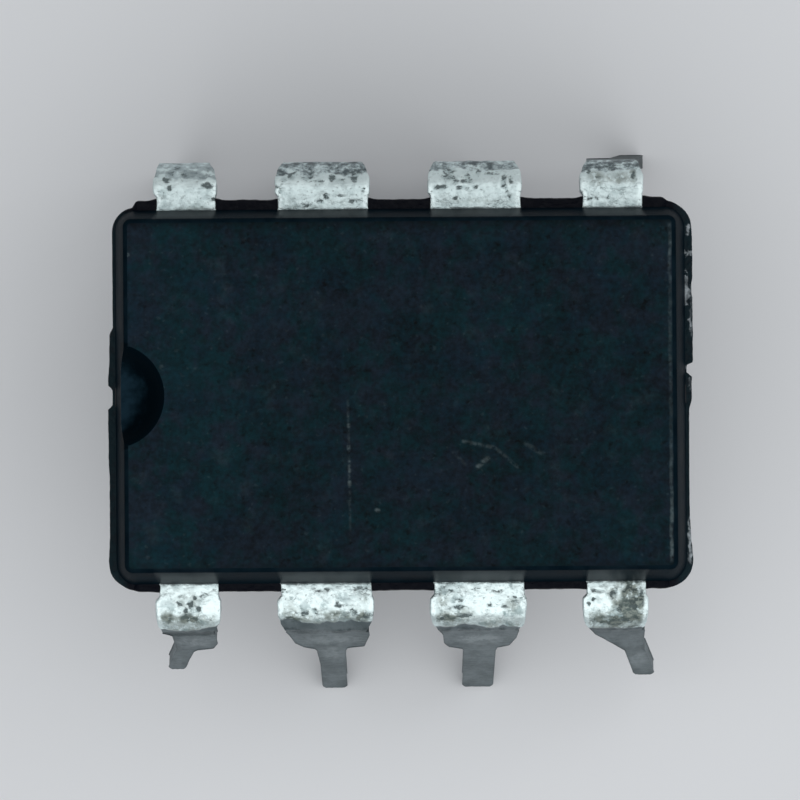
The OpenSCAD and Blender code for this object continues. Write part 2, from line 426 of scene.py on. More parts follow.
@dataclass(frozen=True)
class ResinFace:
    """Matt face of the moulded resin, with its blotches, grain, scratches and scuffs, a painted highlight
    along the far end's edge and painted shade along the long edges.
    """

    name: str = "resin_face"
    green: Colour = (0.0019, 0.0131, 0.0175, 1)
    grey: Colour = (0.0056, 0.0109, 0.0180, 1)
    navy: Colour = (0.0024, 0.0100, 0.0180, 1)
    # Pale colour of the wear, smudges and specks, and of the painted highlight along the far end's edge.
    pale: Colour = (0.060, 0.082, 0.088, 1)
    roughness: float = 0.56
    specular: float = 0.05
    relief: float = 0.006
    fine: Grain = Grain(13.0, 3.0, 1.3, (0.32, 0.68))
    pores: Grain = Grain(12.0, 3.0, 6.1)
    mottle: Grain = Grain(4.6, 5.0, 15.1, (0.36, 0.64), crisp=0.62)
    clouds: Grain = Grain(0.9, 5.0, 9.1, (0.32, 0.68))
    flecks: Grain = Grain(7.5, 2.0, 17.3, (0.60, 0.74))
    broad_blotches: Grain = Grain(1.2, 4.0, 2.2)
    small_blotches: Grain = Grain(4.2, 3.0, 4.4)
    blotch_edge: Span = (0.40, 0.60)
    navy_patches: Grain = Grain(1.6, 4.0, 7.7, (0.46, 0.66))
    smudges: Grain = Grain(2.6, 5.0, 12.3, (0.55, 0.75))
    specks: Grain = Grain(10.0, 1.0, 8.8, (0.64, 0.78))
    dots: Grain = Grain(6.0, 1.0, 3.1, (0.50, 0.66))
    breaks: Grain = Grain(14.0, 2.0, 5.3, (0.28, 0.60))
    paler_end: Span = (-1.2, -4.2)
    # Painted shade along the back and front edges.
    back_edge_shade: Span = (2.64, 2.86)
    front_edge_shade: Span = (-2.70, -2.86)
    # Painted highlight along the far end's top edge.
    edge: EdgeHighlight = EdgeHighlight()
    strokes: tuple[Stroke, ...] = (
        Stroke((1.02, -0.78), (1.55, -0.89), 0.050, 0.50),
        Stroke((1.55, -0.89), (1.90, -1.20), 0.045, 0.36),
        Stroke((1.26, -1.19), (1.42, -1.05), 0.060, 0.80),
        Stroke((2.03, -0.81), (2.28, -0.98), 0.060, 0.30),
        Stroke((0.86, -0.96), (1.05, -1.15), 0.045, 0.22),
        Stroke((-0.40, -1.89), (-0.37, -1.90), 0.050, 1.00),
        Stroke((-4.45, 2.30), (-4.43, 2.31), 0.045, 0.70),
        Stroke((-3.90, 0.47), (-3.88, 0.45), 0.060, 0.35),
        Stroke((-0.85, -0.50), (-0.85, -0.53), 0.048, 0.80),
        Stroke((-0.85, -0.85), (-0.85, -0.89), 0.045, 0.90),
        Stroke((-0.84, -1.10), (-0.84, -1.26), 0.042, 0.75),
        Stroke((-0.84, -1.43), (-0.84, -1.47), 0.048, 0.95),
    )
    long_scratch: Stroke = Stroke((-0.86, -0.09), (-0.83, -2.38), 0.036, 1.0)

    def make(self) -> bpy.types.Material:
        """Builds the material.

        Returns:
            The finished material.
        """
        net = Net(self.name)
        fine = net.grain(self.fine)
        # Wear, with the painted highlight along the far end's edge.
        wear = self._wear_and_highlight(net)
        colour = net.shaded(self._colour(net, wear), self._tone(net, fine))
        gloss = self.roughness + fine.swing(0.10) - 0.12 * wear
        height = 0.6 * fine + 0.4 * net.grain(self.pores) + 0.5 * wear
        return net.surface(
            Base_Color=colour,
            Roughness=gloss,
            Normal=net.bump(height, self.relief, 0.6),
            Specular_IOR_Level=self.specular,
        )

    def _wear_and_highlight(self, net: Net) -> Signal:
        """Scratches, scuffs and the painted highlight along the far end's edge, on the upper face alone.

        Args:
            net: Nodes of the material.

        Returns:
            The strength of the wear and of the painted highlight.
        """
        scratch = self.long_scratch.mask(net, net.flat) * (0.16 + 0.50 * net.grain(self.dots))
        scuffs = strongest([scratch, *(stroke.mask(net, net.flat) for stroke in self.strokes)])
        wear = (scuffs * net.grain(self.breaks)).or_more(self.edge.mask(net))
        return wear * net.axis("Z").step(*TOP_RISE)

    def _colour(self, net: Net, wear: Signal) -> Signal:
        """Colour of the resin before it is made lighter or darker.

        Args:
            net: Nodes of the material.
            wear: Strength of the wear and of the painted highlight.

        Returns:
            The colour.
        """
        blotches = 0.5 * net.grain(self.broad_blotches) + 0.5 * net.grain(self.small_blotches)
        base = net.mix(blotches.step(*self.blotch_edge), self.green, self.grey)
        base = net.mix(net.grain(self.navy_patches) * 0.5, base, self.navy)
        # Pale wear, smudges and specks, with the painted highlight along the far end's edge.
        dust_and_highlight = wear + net.grain(self.smudges) * 0.07 + net.grain(self.specks) * 0.10
        return net.mix(dust_and_highlight.limited(), base, self.pale)

    def _tone(self, net: Net, fine: Signal) -> Signal:
        """How light the resin is, paler towards the notch and darker at the long edges by painted shade.

        Args:
            net: Nodes of the material.
            fine: Finest grain.

        Returns:
            The factor on the colour.
        """
        mottle, clouds, flecks = (net.grain(grain) for grain in (self.mottle, self.clouds, self.flecks))
        paler_end = net.axis("X").step(*self.paler_end)
        tone = 0.39 + 0.46 * fine + 0.38 * mottle + 0.30 * clouds + 0.24 * paler_end - 0.40 * flecks
        y = net.axis("Y")
        # Painted shade along the back and front edges.
        return tone * (1 - (0.50 * y.step(*self.back_edge_shade) + 0.30 * y.step(*self.front_edge_shade)))


@dataclass(frozen=True)
class ResinWall:
    """Smoother resin of the sloped walls, their rounded edges and the notch, glossy above the leads, with
    painted light and shade in the notch and a painted highlight at the far end's edge.
    """

    name: str = "resin_wall"
    dark: Colour = (0.0020, 0.0064, 0.0105, 1)
    light: Colour = (0.0042, 0.0110, 0.0165, 1)
    # Painted shade where the notch's wall rises, and painted light on its floor.
    hollow: Colour = (0.0011, 0.0040, 0.0064, 1)
    floor: Colour = (0.0085, 0.0225, 0.0345, 1)
    # Colour of the painted highlight along the far end's edge.
    pale: Colour = (0.060, 0.082, 0.088, 1)
    roughness: float = 0.36
    specular: float = 0.0014
    gloss_weight: float = 0.153
    gloss_roughness: float = 0.3
    gloss_ior: float = 1.2
    relief: float = 0.004
    streaks: Grain = Grain(3.0, 3.0, 1.9, stretch=(1, 1, 0.35))
    streak_edge: Span = (0.3, 0.7)
    fine: Grain = Grain(28.0, 2.0, 2.7)
    waves: Grain = Grain(7.0, 2.0, 3.3)
    notch_x: float = -4.71
    notch_rim: Span = (0.92, 0.88)
    notch_rise: Span = (3.12, 3.18)
    # Middle and reach of the painted light on the notch's floor, and its uneven edge.
    floor_x: float = -4.81
    floor_rim: Span = (0.40, 0.70)
    floor_jags: Grain = Grain(5.0, 4.0, 4.6)
    floor_patches: Grain = Grain(6.0, 4.0, 7.4, (0.38, 0.66))
    gloss_fade: float = 0.03
    gloss_y: Span = (2.70, 2.75)
    gloss_z: Span = (2.10, 2.20)
    # Painted highlight along the far end's top edge, where it reaches the wall.
    edge: EdgeHighlight = EdgeHighlight()

    def make(self) -> bpy.types.Material:
        """Builds the material.

        Returns:
            The finished material.
        """
        net = Net(self.name)
        streaks = net.grain(self.streaks)
        fine = net.grain(self.fine)
        base = net.mix(streaks.step(*self.streak_edge), self.dark, self.light)
        base = net.mix(self._in_notch(net), base, self._notch_colour(net))
        # Painted highlight along the far end's top edge.
        worn_blade_and_edge_highlight = self.edge.mask(net) * net.axis("Z").step(*TOP_RISE)
        return net.surface(
            Base_Color=net.mix(worn_blade_and_edge_highlight.limited(), base, self.pale),
            Roughness=self.roughness + streaks.swing(0.14) + fine.swing(0.08),
            Normal=net.bump(fine + 0.8 * net.grain(self.waves), self.relief, 0.5),
            Specular_IOR_Level=self.specular,
            Coat_Weight=self._above_leads(net) * self.gloss_weight * (0.55 + 0.9 * streaks),
            Coat_Roughness=self.gloss_roughness,
            Coat_IOR=self.gloss_ior,
        )

    def _in_notch(self, net: Net) -> Signal:
        """A mask that is 1 inside the notch."""
        away = net.vector("DISTANCE", net.flat, (self.notch_x, 0, 0), out=1)
        return away.step(*self.notch_rim) * net.axis("Z").step(*self.notch_rise)

    def _notch_colour(self, net: Net) -> Signal:
        """Colour of the notch, with painted light on its floor and painted shade where its wall rises.

        Args:
            net: Nodes of the material.

        Returns:
            The colour.
        """
        away = net.vector("DISTANCE", net.flat, (self.floor_x, 0, 0), out=1)
        # Painted light on the notch's floor, mottled darker.
        floor = net.mix(net.grain(self.floor_patches) * 0.55, self.floor, self.dark)
        # Painted shade where the wall rises.
        rising = (away + net.grain(self.floor_jags).swing(0.45)).step(*self.floor_rim)
        return net.mix(rising, floor, self.hollow)

    def _above_leads(self, net: Net) -> Signal:
        """Where the upper wall stands over a lead.

        Args:
            net: Nodes of the material.

        Returns:
            A mask, 1 over the leads.
        """
        spans = []
        for low, high in zip(LEAD_EDGES[::2], LEAD_EDGES[1::2]):
            half = (high - low) / 2
            away = abs(net.axis("X") - (low + half))
            spans.append(away.step(half + self.gloss_fade, half - self.gloss_fade))
        return strongest(spans) * abs(net.axis("Y")).step(*self.gloss_y) * net.axis("Z").step(*self.gloss_z)


@dataclass(frozen=True)
class ResinFlash:
    """Thin resin left at the parting line, black along the sides and dull at the ends, with pale chipping and
    painted highlights on the far end.
    """

    name: str = "resin_flash"
    dark: Colour = (0.0012, 0.0022, 0.0060, 1)
    dull: Colour = (0.0050, 0.0155, 0.0210, 1)
    # Colour of the pale chipping and of the painted highlights.
    pale: Colour = (0.40, 0.45, 0.48, 1)
    roughness: float = 0.50
    specular: float = 0.08
    relief: float = 0.012
    torn: Grain = Grain(9.0, 3.0, 4.2, (0.30, 0.70))
    grit: Grain = Grain(30.0, 2.0, 6.6)
    jags_x: Grain = Grain(8.0, 4.0, 8.3, crisp=0.6)
    jags_y: Grain = Grain(8.0, 4.0, 10.9, crisp=0.6)
    jag_reach: Span = (0.14, 0.40)
    end_x: Span = (4.52, 4.68)
    # Pale chipping and painted highlights on the far end's flash.
    chip_and_highlight_edge: Span = (0.05, 0.85)
    chips_and_highlights: tuple[Stroke, ...] = (
        Stroke((4.81, 2.82), (4.81, 2.70), 0.055, 0.75),
        Stroke((4.74, 2.37), (4.83, 2.36), 0.065, 1.00),
        Stroke((4.765, 1.99), (4.775, 1.56), 0.060, 0.90),
        Stroke((4.775, 1.74), (4.780, 1.60), 0.090, 1.00),
        Stroke((4.850, 1.84), (4.845, 0.95), 0.032, 0.34),
        Stroke((4.845, 1.26), (4.845, 1.12), 0.040, 0.85),
        Stroke((4.73, 0.50), (4.77, 0.44), 0.050, 0.90),
        Stroke((4.82, 0.27), (4.82, 0.08), 0.045, 0.45),
        Stroke((4.79, -2.05), (4.80, -2.40), 0.030, 0.60),
        Stroke((4.80, -2.34), (4.805, -2.80), 0.050, 1.00),
    )

    def make(self) -> bpy.types.Material:
        """Builds the material.

        Returns:
            The finished material.
        """
        net = Net(self.name)
        torn = net.grain(self.torn)
        end = abs(net.axis("X")).step(*self.end_x)
        tone = net.mix(end * (0.55 + 0.75 * torn).limited(), self.dark, self.dull)
        jags = zip((self.jags_x, self.jags_y), self.jag_reach)
        offset = {axis: net.grain(grain).swing(reach) for axis, (grain, reach) in enumerate(jags)}
        jagged = net.vector("ADD", net.flat, net.node("ShaderNodeCombineXYZ", inputs=offset))
        # Pale chipping and painted highlights.
        chips_and_highlights_mask = strongest(pale_mark.mask(net, jagged) for pale_mark in self.chips_and_highlights)
        bare = chips_and_highlights_mask.step(*self.chip_and_highlight_edge) * (0.25 + 0.75 * torn)
        return net.surface(
            Base_Color=net.mix(bare, tone, self.pale),
            Roughness=self.roughness + torn.swing(0.15),
            Normal=net.bump(torn + 0.5 * net.grain(self.grit), self.relief, 0.7),
            Specular_IOR_Level=self.specular,
        )


@dataclass(frozen=True)
class Solder:
    """Tinned strip under solder that is bright on the shoulders, grimy and painted darker at its edge and
    dull past it, with painted shade below the front coats and at a blade's end and painted light on the back
    row's bends.
    """

    name: str = "soldered_tin"
    bright: Colour = (0.73, 0.85, 0.855, 1)
    dull: Colour = (0.31, 0.405, 0.415, 1)
    # Grimy colour, which at the coat's edge also stands for painted shade.
    grime_and_shade: Colour = (0.265, 0.305, 0.275, 1)
    crust: Colour = (0.090, 0.122, 0.116, 1)
    film: Colour = (0.50, 0.60, 0.62, 1)
    bare: Colour = (0.108, 0.138, 0.148, 1)
    cloud: Colour = (0.19, 0.23, 0.245, 1)
    scuffed: Colour = (0.29, 0.335, 0.35, 1)
    # Painted shade on a blade's end.
    tip_shade: Colour = (0.012, 0.030, 0.034, 1)
    # Painted shade under the front coats, also the colour of the dark spots on the back row.
    painted_shadow_and_spots: Colour = (0.036, 0.056, 0.062, 1)
    dirt: Colour = (0.072, 0.100, 0.102, 1)
    relief: float = 0.024
    fine: Grain = Grain(16.0, 3.0, 7.9)
    patchy: Grain = Grain(6.5, 4.0, 1.4, (0.32, 0.68))
    ragged: Grain = Grain(12.0, 5.0, 5.1, (0.38, 0.62), (0.8, 1.2, 1.2), 0.62)
    worked: Grain = Grain(1.5, 3.0, 13.7, (0.42, 0.60))
    leaf: Grain = Grain(4.2, 6.0, 2.3, crisp=0.62)
    leaf_edge: Span = (0.50, 0.62)
    folds: Grain = Grain(2.4, 5.0, 11.2, crisp=0.6)
    fold_width: float = 0.030
    glints: Grain = Grain(13.0, 3.0, 20.2, (0.54, 0.66), crisp=0.6)
    specks: Grain = Grain(17.0, 2.0, 3.9)
    speck_edge: Span = (0.62, 0.76)
    clouds: Grain = Grain(2.8, 6.0, 2.9, (0.36, 0.64), (1, 1, 0.28), 0.6)
    flakes: Grain = Grain(6.0, 6.0, 4.9, (0.36, 0.64), (1, 1, 0.24), 0.68)
    cells: Grain = Grain(5.0, 6.0, 6.4, None, (1.0, 1.3, 0.9), 0.66)
    # Places across the part and along the strip between which something sets in or ends.
    back_row: Span = (-1.0, 1.0)
    bend_start: Span = (0.30, 0.42)
    bend_end: Span = (1.3, 0.8)
    body_side: Span = (0.12, 0.02)
    film_end: Span = (1.0, 0.78)

    def make(self) -> bpy.types.Material:
        """Builds the material.

        Returns:
            The finished material.
        """
        net = Net(self.name)
        stain, pit, along, rim = (net.attribute(name) for name in ("stain", "pit", "along", "rim"))
        fine, patchy, ragged, worked, leaf = (
            net.grain(grain) for grain in (self.fine, self.patchy, self.ragged, self.worked, self.leaf)
        )
        back = net.axis("Y").step(*self.back_row)
        coat = (net.attribute("coat") + patchy.swing(0.5)).step(0.25, 0.75)
        folds = abs(net.grain(self.folds) - 0.5).step(self.fold_width, 0.0) * worked
        above_blade = along.step(*self.bend_end)
        # Painted light on the back row's bend.
        bend = along.step(*self.bend_start) * above_blade * back

        # The coat is dull where it was worked, on the back row and in stains, and bright on its rims and, as
        # painted light, on the back row's bend.
        share = leaf.step(*self.leaf_edge) * (0.30 + 0.50 * worked) * (1 - 0.62 * back) + 0.30 * back
        share = share + 0.18 * folds * (1 - back) + fine.swing(0.5) + 0.25 * stain - 0.5 * rim - 0.3 * bend
        tin = net.mix(share.limited(), self.bright, self.dull)
        at_body = along.step(*self.body_side) * patchy * 0.5
        tin = net.mix(at_body.or_more(pit.step(0.05, 0.75) * 0.6), tin, self.dull)

        # Grime, which at the coat's edge is also painted shade, covers the stains and leaves glints and rims
        # free.
        crust = stain.step(0.35, 1.0) * (0.20 + 0.95 * ragged)
        soiled_and_shaded = net.mix(crust.limited(), self.grime_and_shade, self.crust)
        cover = stain * (0.30 + 1.1 * patchy) + 0.40 * stain.step(0.70, 1.0)
        cover = cover - 0.7 * net.grain(self.glints) - 0.7 * rim
        tin = net.mix(cover.limited(), tin, soiled_and_shaded)

        # Dirt fills the pits and specks the coat.
        hole = (pit + ragged.swing(1.0)).step(0.34, 0.95)
        specks = (net.grain(self.specks) + 0.08 * stain).step(*self.speck_edge) * 0.5
        dark = hole.or_more(specks * coat)
        colour = net.mix(0.88 * dark, net.mix(coat, self._strip(net, back, along), tin), self.dirt)

        gloss = 0.50 + 0.10 * share.limited() - 0.16 * coat + 0.15 * dark + fine.swing(0.12) + 0.10 * stain
        # Less metallic on the back row, and least on its bend, which carries painted light.
        shine = 0.95 - 0.40 * dark - 0.3 * stain - 0.25 * back * above_blade - 0.45 * bend
        height = coat * (0.8 * leaf + 0.4 * fine - 0.25 * folds) + 0.3 * (1 - coat) * patchy - 0.4 * dark
        return net.surface(
            Base_Color=colour,
            Roughness=gloss,
            Metallic=shine.limited(),
            Normal=net.bump(height, self.relief, 0.6),
        )

    def _strip(self, net: Net, back: Signal, along: Signal) -> Signal:
        """Colour of the strip past the coat.

        Args:
            net: Nodes of the material.
            back: 1 on the back row, 0 on the front row.
            along: Place along the strip.

        Returns:
            The colour.
        """
        clouds, flakes, cells = (net.grain(grain) for grain in (self.clouds, self.flakes, self.cells))
        strip = net.mix(0.7 * clouds, self.bare, self.cloud)
        scuffs_and_highlight_breaks = (1.35 * net.attribute("scuff") * (0.15 + 0.85 * flakes)).limited()
        strip = net.mix(0.9 * scuffs_and_highlight_breaks, strip, self.scuffed)
        thin = along.step(*self.film_end) * back
        strip = net.mix(thin * (0.50 + 0.5 * clouds), strip, self.film)
        strip = net.mix(0.85 * thin * cells.step(0.50, 0.38), strip, self.bright)
        # Painted shade under the coat on the front row, dark spots past the coat on the back row.
        crease = net.attribute("crease")
        spots = (cells + 0.13 * crease).step(0.52, 0.68) * thin * 0.85
        under = (crease + flakes.swing(0.6)).step(0.10, 0.90) * (1 - back)
        strip = net.mix((spots + 0.9 * under).limited(), strip, self.painted_shadow_and_spots)
        # Painted shade on a blade's end.
        return net.mix(net.attribute("tip_shade") * (0.75 + 0.25 * flakes), strip, self.tip_shade)


@dataclass(frozen=True)
class PlainMetal:
    """Finish of a hidden part, with fine rolling marks and stains, and dark past a place along the body."""

    name: str
    light: Colour
    stain: Colour
    roughness: float
    metallic: float = 1.0
    dark_from: float = 20.0
    dark_fade: float = 0.1
    dark: Colour = (0.020, 0.021, 0.023, 1)
    relief: float = 0.004
    rolled: Grain = Grain(14.0, 3.0, 1.1, stretch=(0.2, 2.0, 1.0))
    stains: Grain = Grain(2.5, 3.0, 6.0, (0.45, 0.75))

    def make(self) -> bpy.types.Material:
        """Builds the material.

        Returns:
            The finished material.
        """
        net = Net(self.name)
        rolled, stains = net.grain(self.rolled), net.grain(self.stains)
        colour = net.mix(0.6 * stains + 0.25 * rolled, self.light, self.stain)
        ends = abs(net.axis("X")).step(self.dark_from - self.dark_fade, self.dark_from)
        return net.surface(
            Base_Color=net.mix(ends, colour, self.dark),
            Roughness=self.roughness + rolled.swing(0.2) + 0.1 * stains,
            Metallic=self.metallic,
            Normal=net.bump(rolled, self.relief, 0.5),
        )


@dataclass(frozen=True)
class PaleFloor:
    """Matt finish of the floor, with faint clouds."""

    name: str = "pale_floor"
    dark: Colour = (0.72, 0.735, 0.755, 1)
    light: Colour = (0.74, 0.755, 0.775, 1)
    roughness: float = 0.9
    specular: float = 0.1
    clouds: Grain = Grain(0.05, 2.0, 0.0)

    def make(self) -> bpy.types.Material:
        """Builds the material.

        Returns:
            The finished material.
        """
        net = Net(self.name)
        colour = net.mix(net.grain(self.clouds), self.dark, self.light)
        return net.surface(Base_Color=colour, Roughness=self.roughness, Specular_IOR_Level=self.specular)


def finish_mesh(
    bm: bmesh.types.BMesh, name: str, materials: list[bpy.types.Material]
) -> bpy.types.Object:
    """Turns a finished bmesh in millimetres into an object in metres.

    Args:
        bm: The mesh, which is freed.
        name: Name of the piece.
        materials: Its materials, in the order of the faces' numbers.

    Returns:
        The new object, at the origin.
    """
    for edge in bm.edges:
        broad = any(face.calc_area() > BROAD_AREA for face in edge.link_faces)
        edge.smooth = not broad and edge.calc_face_angle(0.0) < SHARP_ANGLE
    for face in bm.faces:
        face.smooth = True
    bmesh.ops.scale(bm, vec=(MM, MM, MM), verts=bm.verts)
    mesh = bpy.data.meshes.new(name)
    bm.to_mesh(mesh)
    bm.free()
    for material in materials:
        mesh.materials.append(material)
    piece = bpy.data.objects.new(name, mesh)
    bpy.context.scene.collection.objects.link(piece)
    return piece


@dataclass
class MouldedBody:
    """The resin body with its notch and the resin left at the parting line."""

    length: float = 9.5
    width: float = 6.25
    part_z: float = 2.1
    upper: float = 1.7
    lower: float = 1.6
    draft: float = math.radians(8)
    # Levels of the wall above and below the parting line, rounded edges and corners, and their steps.
    wall_heights: Span = (0.5, 1.0)
    edge_r: float = 0.1
    edge_steps: int = 6
    corner_r: float = 0.36
    corner_steps: int = 10
    # Gap between points round the outline, rim of the upper face, and how deep a face counts as level.
    spacing: float = 0.04
    face_inset: float = 0.02
    face_gap: float = 0.05
    # The notch, with its hollow as shares of the run from its floor to its rim, and its rounded rim.
    notch_r: float = 0.84
    notch_floor_r: float = 0.52
    notch_depth: float = 0.6
    notch_in: float = 0.04
    notch_steps: int = 96
    notch_weld: float = 1e-5
    notch_curve: Stops = (
        (-0.56, 0.003), (-0.30, 0.020), (-0.10, 0.067), (0.09, 0.158), (0.25, 0.283), (0.44, 0.467),
        (0.69, 0.733),
    )
    notch_rim: Stops = ((-0.015, -0.014), (0.006, -0.004), (0.03, 0.004), (0.1, 0.2))
    # The ledges along the two sides, which reach farther beside the leads' edges.
    front_ledge: float = 0.12
    back_ledge: float = 0.16
    front_rise: float = 0.010
    back_rise: float = 0.030
    rise_w: float = 0.09
    ledge_t: float = 0.2
    ledge_end: float = 0.34
    ledge_fade: Span = (0.04, -0.04)
    # The thin lips at the two ends, as places along Y and reaches there.
    notch_lip: Stops = (
        (-2.6, 0.125), (-2.3, 0.108), (-1.3, 0.108), (-1.0, 0.128), (0.3, 0.124), (0.5, 0.108),
        (1.06, 0.096), (1.16, 0.040), (2.8, 0.042),
    )
    far_lip: Stops = (
        (-2.7, 0.110), (-2.4, 0.075), (-2.0, 0.055), (-1.4, 0.050), (-0.25, 0.060), (-0.1, 0.105),
        (0.2, 0.105), (0.55, 0.128), (2.6, 0.128), (2.8, 0.118),
    )
    lip_t: float = 0.06
    lip_round: float = 0.012
    # How far the outline has to face an end for the lip to set in and to be read.
    end_way: Span = (0.55, 0.95)
    lip_way: float = 0.7
    # The flash at the corners, of which one has little, and the least that is left anywhere.
    corner_flash: float = 0.105
    spared_corner: float = 0.045
    least_flash: float = 0.004
    least_step: float = 0.002
    # The torn outline, the cut tie bar at the notch, and the gap and the bite at the far end.
    torn_waves: float = 2.2
    fine_waves: float = 9.0
    tie_w: float = 0.3
    tie_fade: Span = (-0.02, 0.05)
    gap_y: float = 0.41
    gap_fade: Span = (0.12, 0.06)
    bite_y: float = 1.76
    bite_fade: Span = (0.16, 0.05)

    @property
    def core(self) -> Span:
        """Half length and half width of the rectangle between the corners' axes."""
        return self.length / 2 - self.corner_r, self.width / 2 - self.corner_r

    def build(self) -> bpy.types.Object:
        """Makes the body.

        Returns:
            The finished piece.
        """
        shell = bmesh.new()
        ring = self._underside(shell)
        for place, skin in self._levels():
            ring = self._raise_ring(shell, ring, place, skin)
        cap = bmesh.ops.contextual_create(shell, geom=ring, mat_nr=Skin.FACE.value)["faces"]
        bmesh.ops.inset_region(shell, faces=cap, thickness=self.face_inset, use_even_offset=True)
        bmesh.ops.recalc_face_normals(shell, faces=shell.faces)
        cut = subtract(shell, self._notch_cutter())
        self._number_level_faces(cut)
        materials = [ResinFace().make(), ResinWall().make(), ResinFlash().make()]
        piece = finish_mesh(cut, "moulded_body_skin", materials)
        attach(piece, ROOT)
        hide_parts("moulded_body")
        return piece

    def _underside(self, bm: bmesh.types.BMesh) -> list[bmesh.types.BMEdge]:
        """Makes the flat underside with its corners rounded.

        Args:
            bm: Mesh to start.

        Returns:
            The edges round it.
        """
        bmesh.ops.create_grid(bm, x_segments=1, y_segments=1, size=1)
        bmesh.ops.scale(bm, vec=(self.length / 2, self.width / 2, 1), verts=bm.verts)
        bmesh.ops.bevel(bm, geom=bm.verts[:], offset=self.corner_r, offset_type="OFFSET",
                        segments=self.corner_steps, profile=0.5, affect="VERTICES", material=-1)
        for edge in [e for e in bm.edges if e.calc_length() > 2 * self.corner_r]:
            cuts = round(edge.calc_length() / self.spacing) - 1
            bmesh.ops.subdivide_edges(bm, edges=[edge], cuts=cuts)
        reach, drop = self._round_levels(self.lower)[-1]
        self._lay(bm.verts, self._wall_level(reach, -drop))
        for face in bm.faces:
            face.material_index = Skin.FACE.value
        return bm.edges[:]

    def _lay(self, verts: Iterable[bmesh.types.BMVert], place: Place) -> None:
        """Puts each point at a reach from the parting outline and at a height.

        Args:
            verts: Points to move.
            place: Reach and height at a place of the outline.
        """
        for vert in verts:
            foot = Vector([max(-c, min(c, x)) for c, x in zip(self.core, vert.co.xy)] + [0.0])
            way = (Vector((*vert.co.xy, 0.0)) - foot).normalized()
            reach, height = place(foot, way)
            vert.co = foot + way * (self.corner_r + reach) + Vector((0, 0, height))

    def _raise_ring(
        self, bm: bmesh.types.BMesh, ring: list[bmesh.types.BMEdge], place: Place, skin: Skin
    ) -> list[bmesh.types.BMEdge]:
        """Extrudes a ring of edges to the next level.

        Args:
            bm: Mesh to extend.
            ring: Edges of the last level.
            place: Reach and height of the new level.
            skin: Finish of the new faces.

        Returns:
            The edges of the new level.
        """
        made = bmesh.ops.extrude_edge_only(bm, edges=ring)["geom"]
        verts = only(made, bmesh.types.BMVert)
        self._lay(verts, place)
        for face in only(made, bmesh.types.BMFace):
            face.material_index = skin.value
        new = set(verts)
        return [edge for edge in only(made, bmesh.types.BMEdge) if set(edge.verts) <= new]

    def _round_levels(self, height: float) -> list[Span]:
        """Levels of the rounded edge of one half.

        Args:
            height: Height of that half.

        Returns:
            Reach and height of each level, from the wall to the flat face.
        """
        mid_h = height - self.edge_r
        mid_d = -mid_h * math.tan(self.draft) - self.edge_r / math.cos(self.draft)
        steps = self.edge_steps
        turns = [self.draft + (math.pi / 2 - self.draft) * i / steps for i in range(steps + 1)]
        return [(mid_d + self.edge_r * math.cos(a), mid_h + self.edge_r * math.sin(a)) for a in turns]

    def _levels(self) -> list[tuple[Place, Skin]]:
        """Every level above the underside.

        Returns:
            The place of each level and the finish of the faces below it.
        """
        below = [(reach, -height) for reach, height in reversed(self._round_levels(self.lower)[:-1])]
        above = [(-height * math.tan(self.draft), height) for height in self.wall_heights]
        below += [(reach, -height) for reach, height in reversed(above)]
        above += self._round_levels(self.upper)
        turned = -self.lip_round
        flash = ((None, -1, Skin.WALL), (turned, -1, Skin.FLASH), (0.0, -0.5, Skin.FLASH),
                 (0.0, 0.5, Skin.FLASH), (turned, 1, Skin.FLASH), (None, 1, Skin.FLASH))
        made = [(self._wall_level(*level), Skin.WALL) for level in below]
        made += [(self._flash_level(out, up), skin) for out, up, skin in flash]
        return made + [(self._wall_level(*level), Skin.WALL) for level in above]

    def _wall_level(self, reach: float, height: float) -> Place:
        """One even level of the wall.

        Args:
            reach: Distance past the parting outline.
            height: Height above the parting line.

        Returns:
            The place of that level.
        """

        def place(foot: Vector, way: Vector) -> Span:
            """The same reach and height all round."""
            return reach, self.part_z + height

        return place

    def _flash_level(self, out: float | None, up: float) -> Place:
        """One level of the flash.

        Args:
            out: Distance from the flash's outer edge, or None at the wall.
            up: Height as a share of half its thickness.

        Returns:
            The place of that level.
        """

        def place(foot: Vector, way: Vector) -> Span:
            """Reach and height of the level at one place of the outline.

            Args:
                foot: Nearest point of the rectangle between the corners' axes.
                way: Direction outwards.

            Returns:
                The reach and the height.
            """
            reach, half = self._flash_at(foot, way, up)
            at_wall = -half * math.tan(self.draft)
            level = at_wall if out is None else max(at_wall + self.least_step, reach + out)
            return level, self.part_z + up * half

        return place

    def _flash_at(self, foot: Vector, way: Vector, up: float) -> Span:
        """Size of the flash at one place of the outline.

        Args:
            foot: Nearest point of the rectangle between the corners' axes.
            way: Direction outwards.
            up: Height as a share of half its thickness.

        Returns:
            Its reach and half its thickness.
        """
        at = foot + way * self.corner_r
        torn = rough(at, self.torn_waves, 3.0 + 0.2 * up)
        fine = rough(at, self.fine_waves, 5.0 + up)
        side_end = self.length / 2 - self.ledge_end
        on_side = ramp_at(abs(at.x), side_end, self.ledge_fade)
        beside = max(math.exp(-((at.x - x) / self.rise_w) ** 2) for x in LEAD_EDGES)
        full, rise = self.back_ledge, self.back_rise
        if way.y < 0:
            full, rise = self.front_ledge, self.front_rise
        ledge = full * (0.94 + 0.08 * torn + 0.05 * fine) + rise * beside
        corner = self.spared_corner if at.x < 0 < at.y else self.corner_flash
        lip = self._lip_at(at, torn, fine) if abs(way.x) > self.lip_way else corner
        on_end = ramp(abs(way.x), *self.end_way)
        bare = corner * (0.92 + 0.12 * torn + 0.08 * fine)
        reach = on_side * ledge + (1 - on_side) * (on_end * lip + (1 - on_end) * bare)
        half = (on_side * self.ledge_t + (1 - on_side) * self.lip_t) / 2
        return max(self.least_flash, reach), half

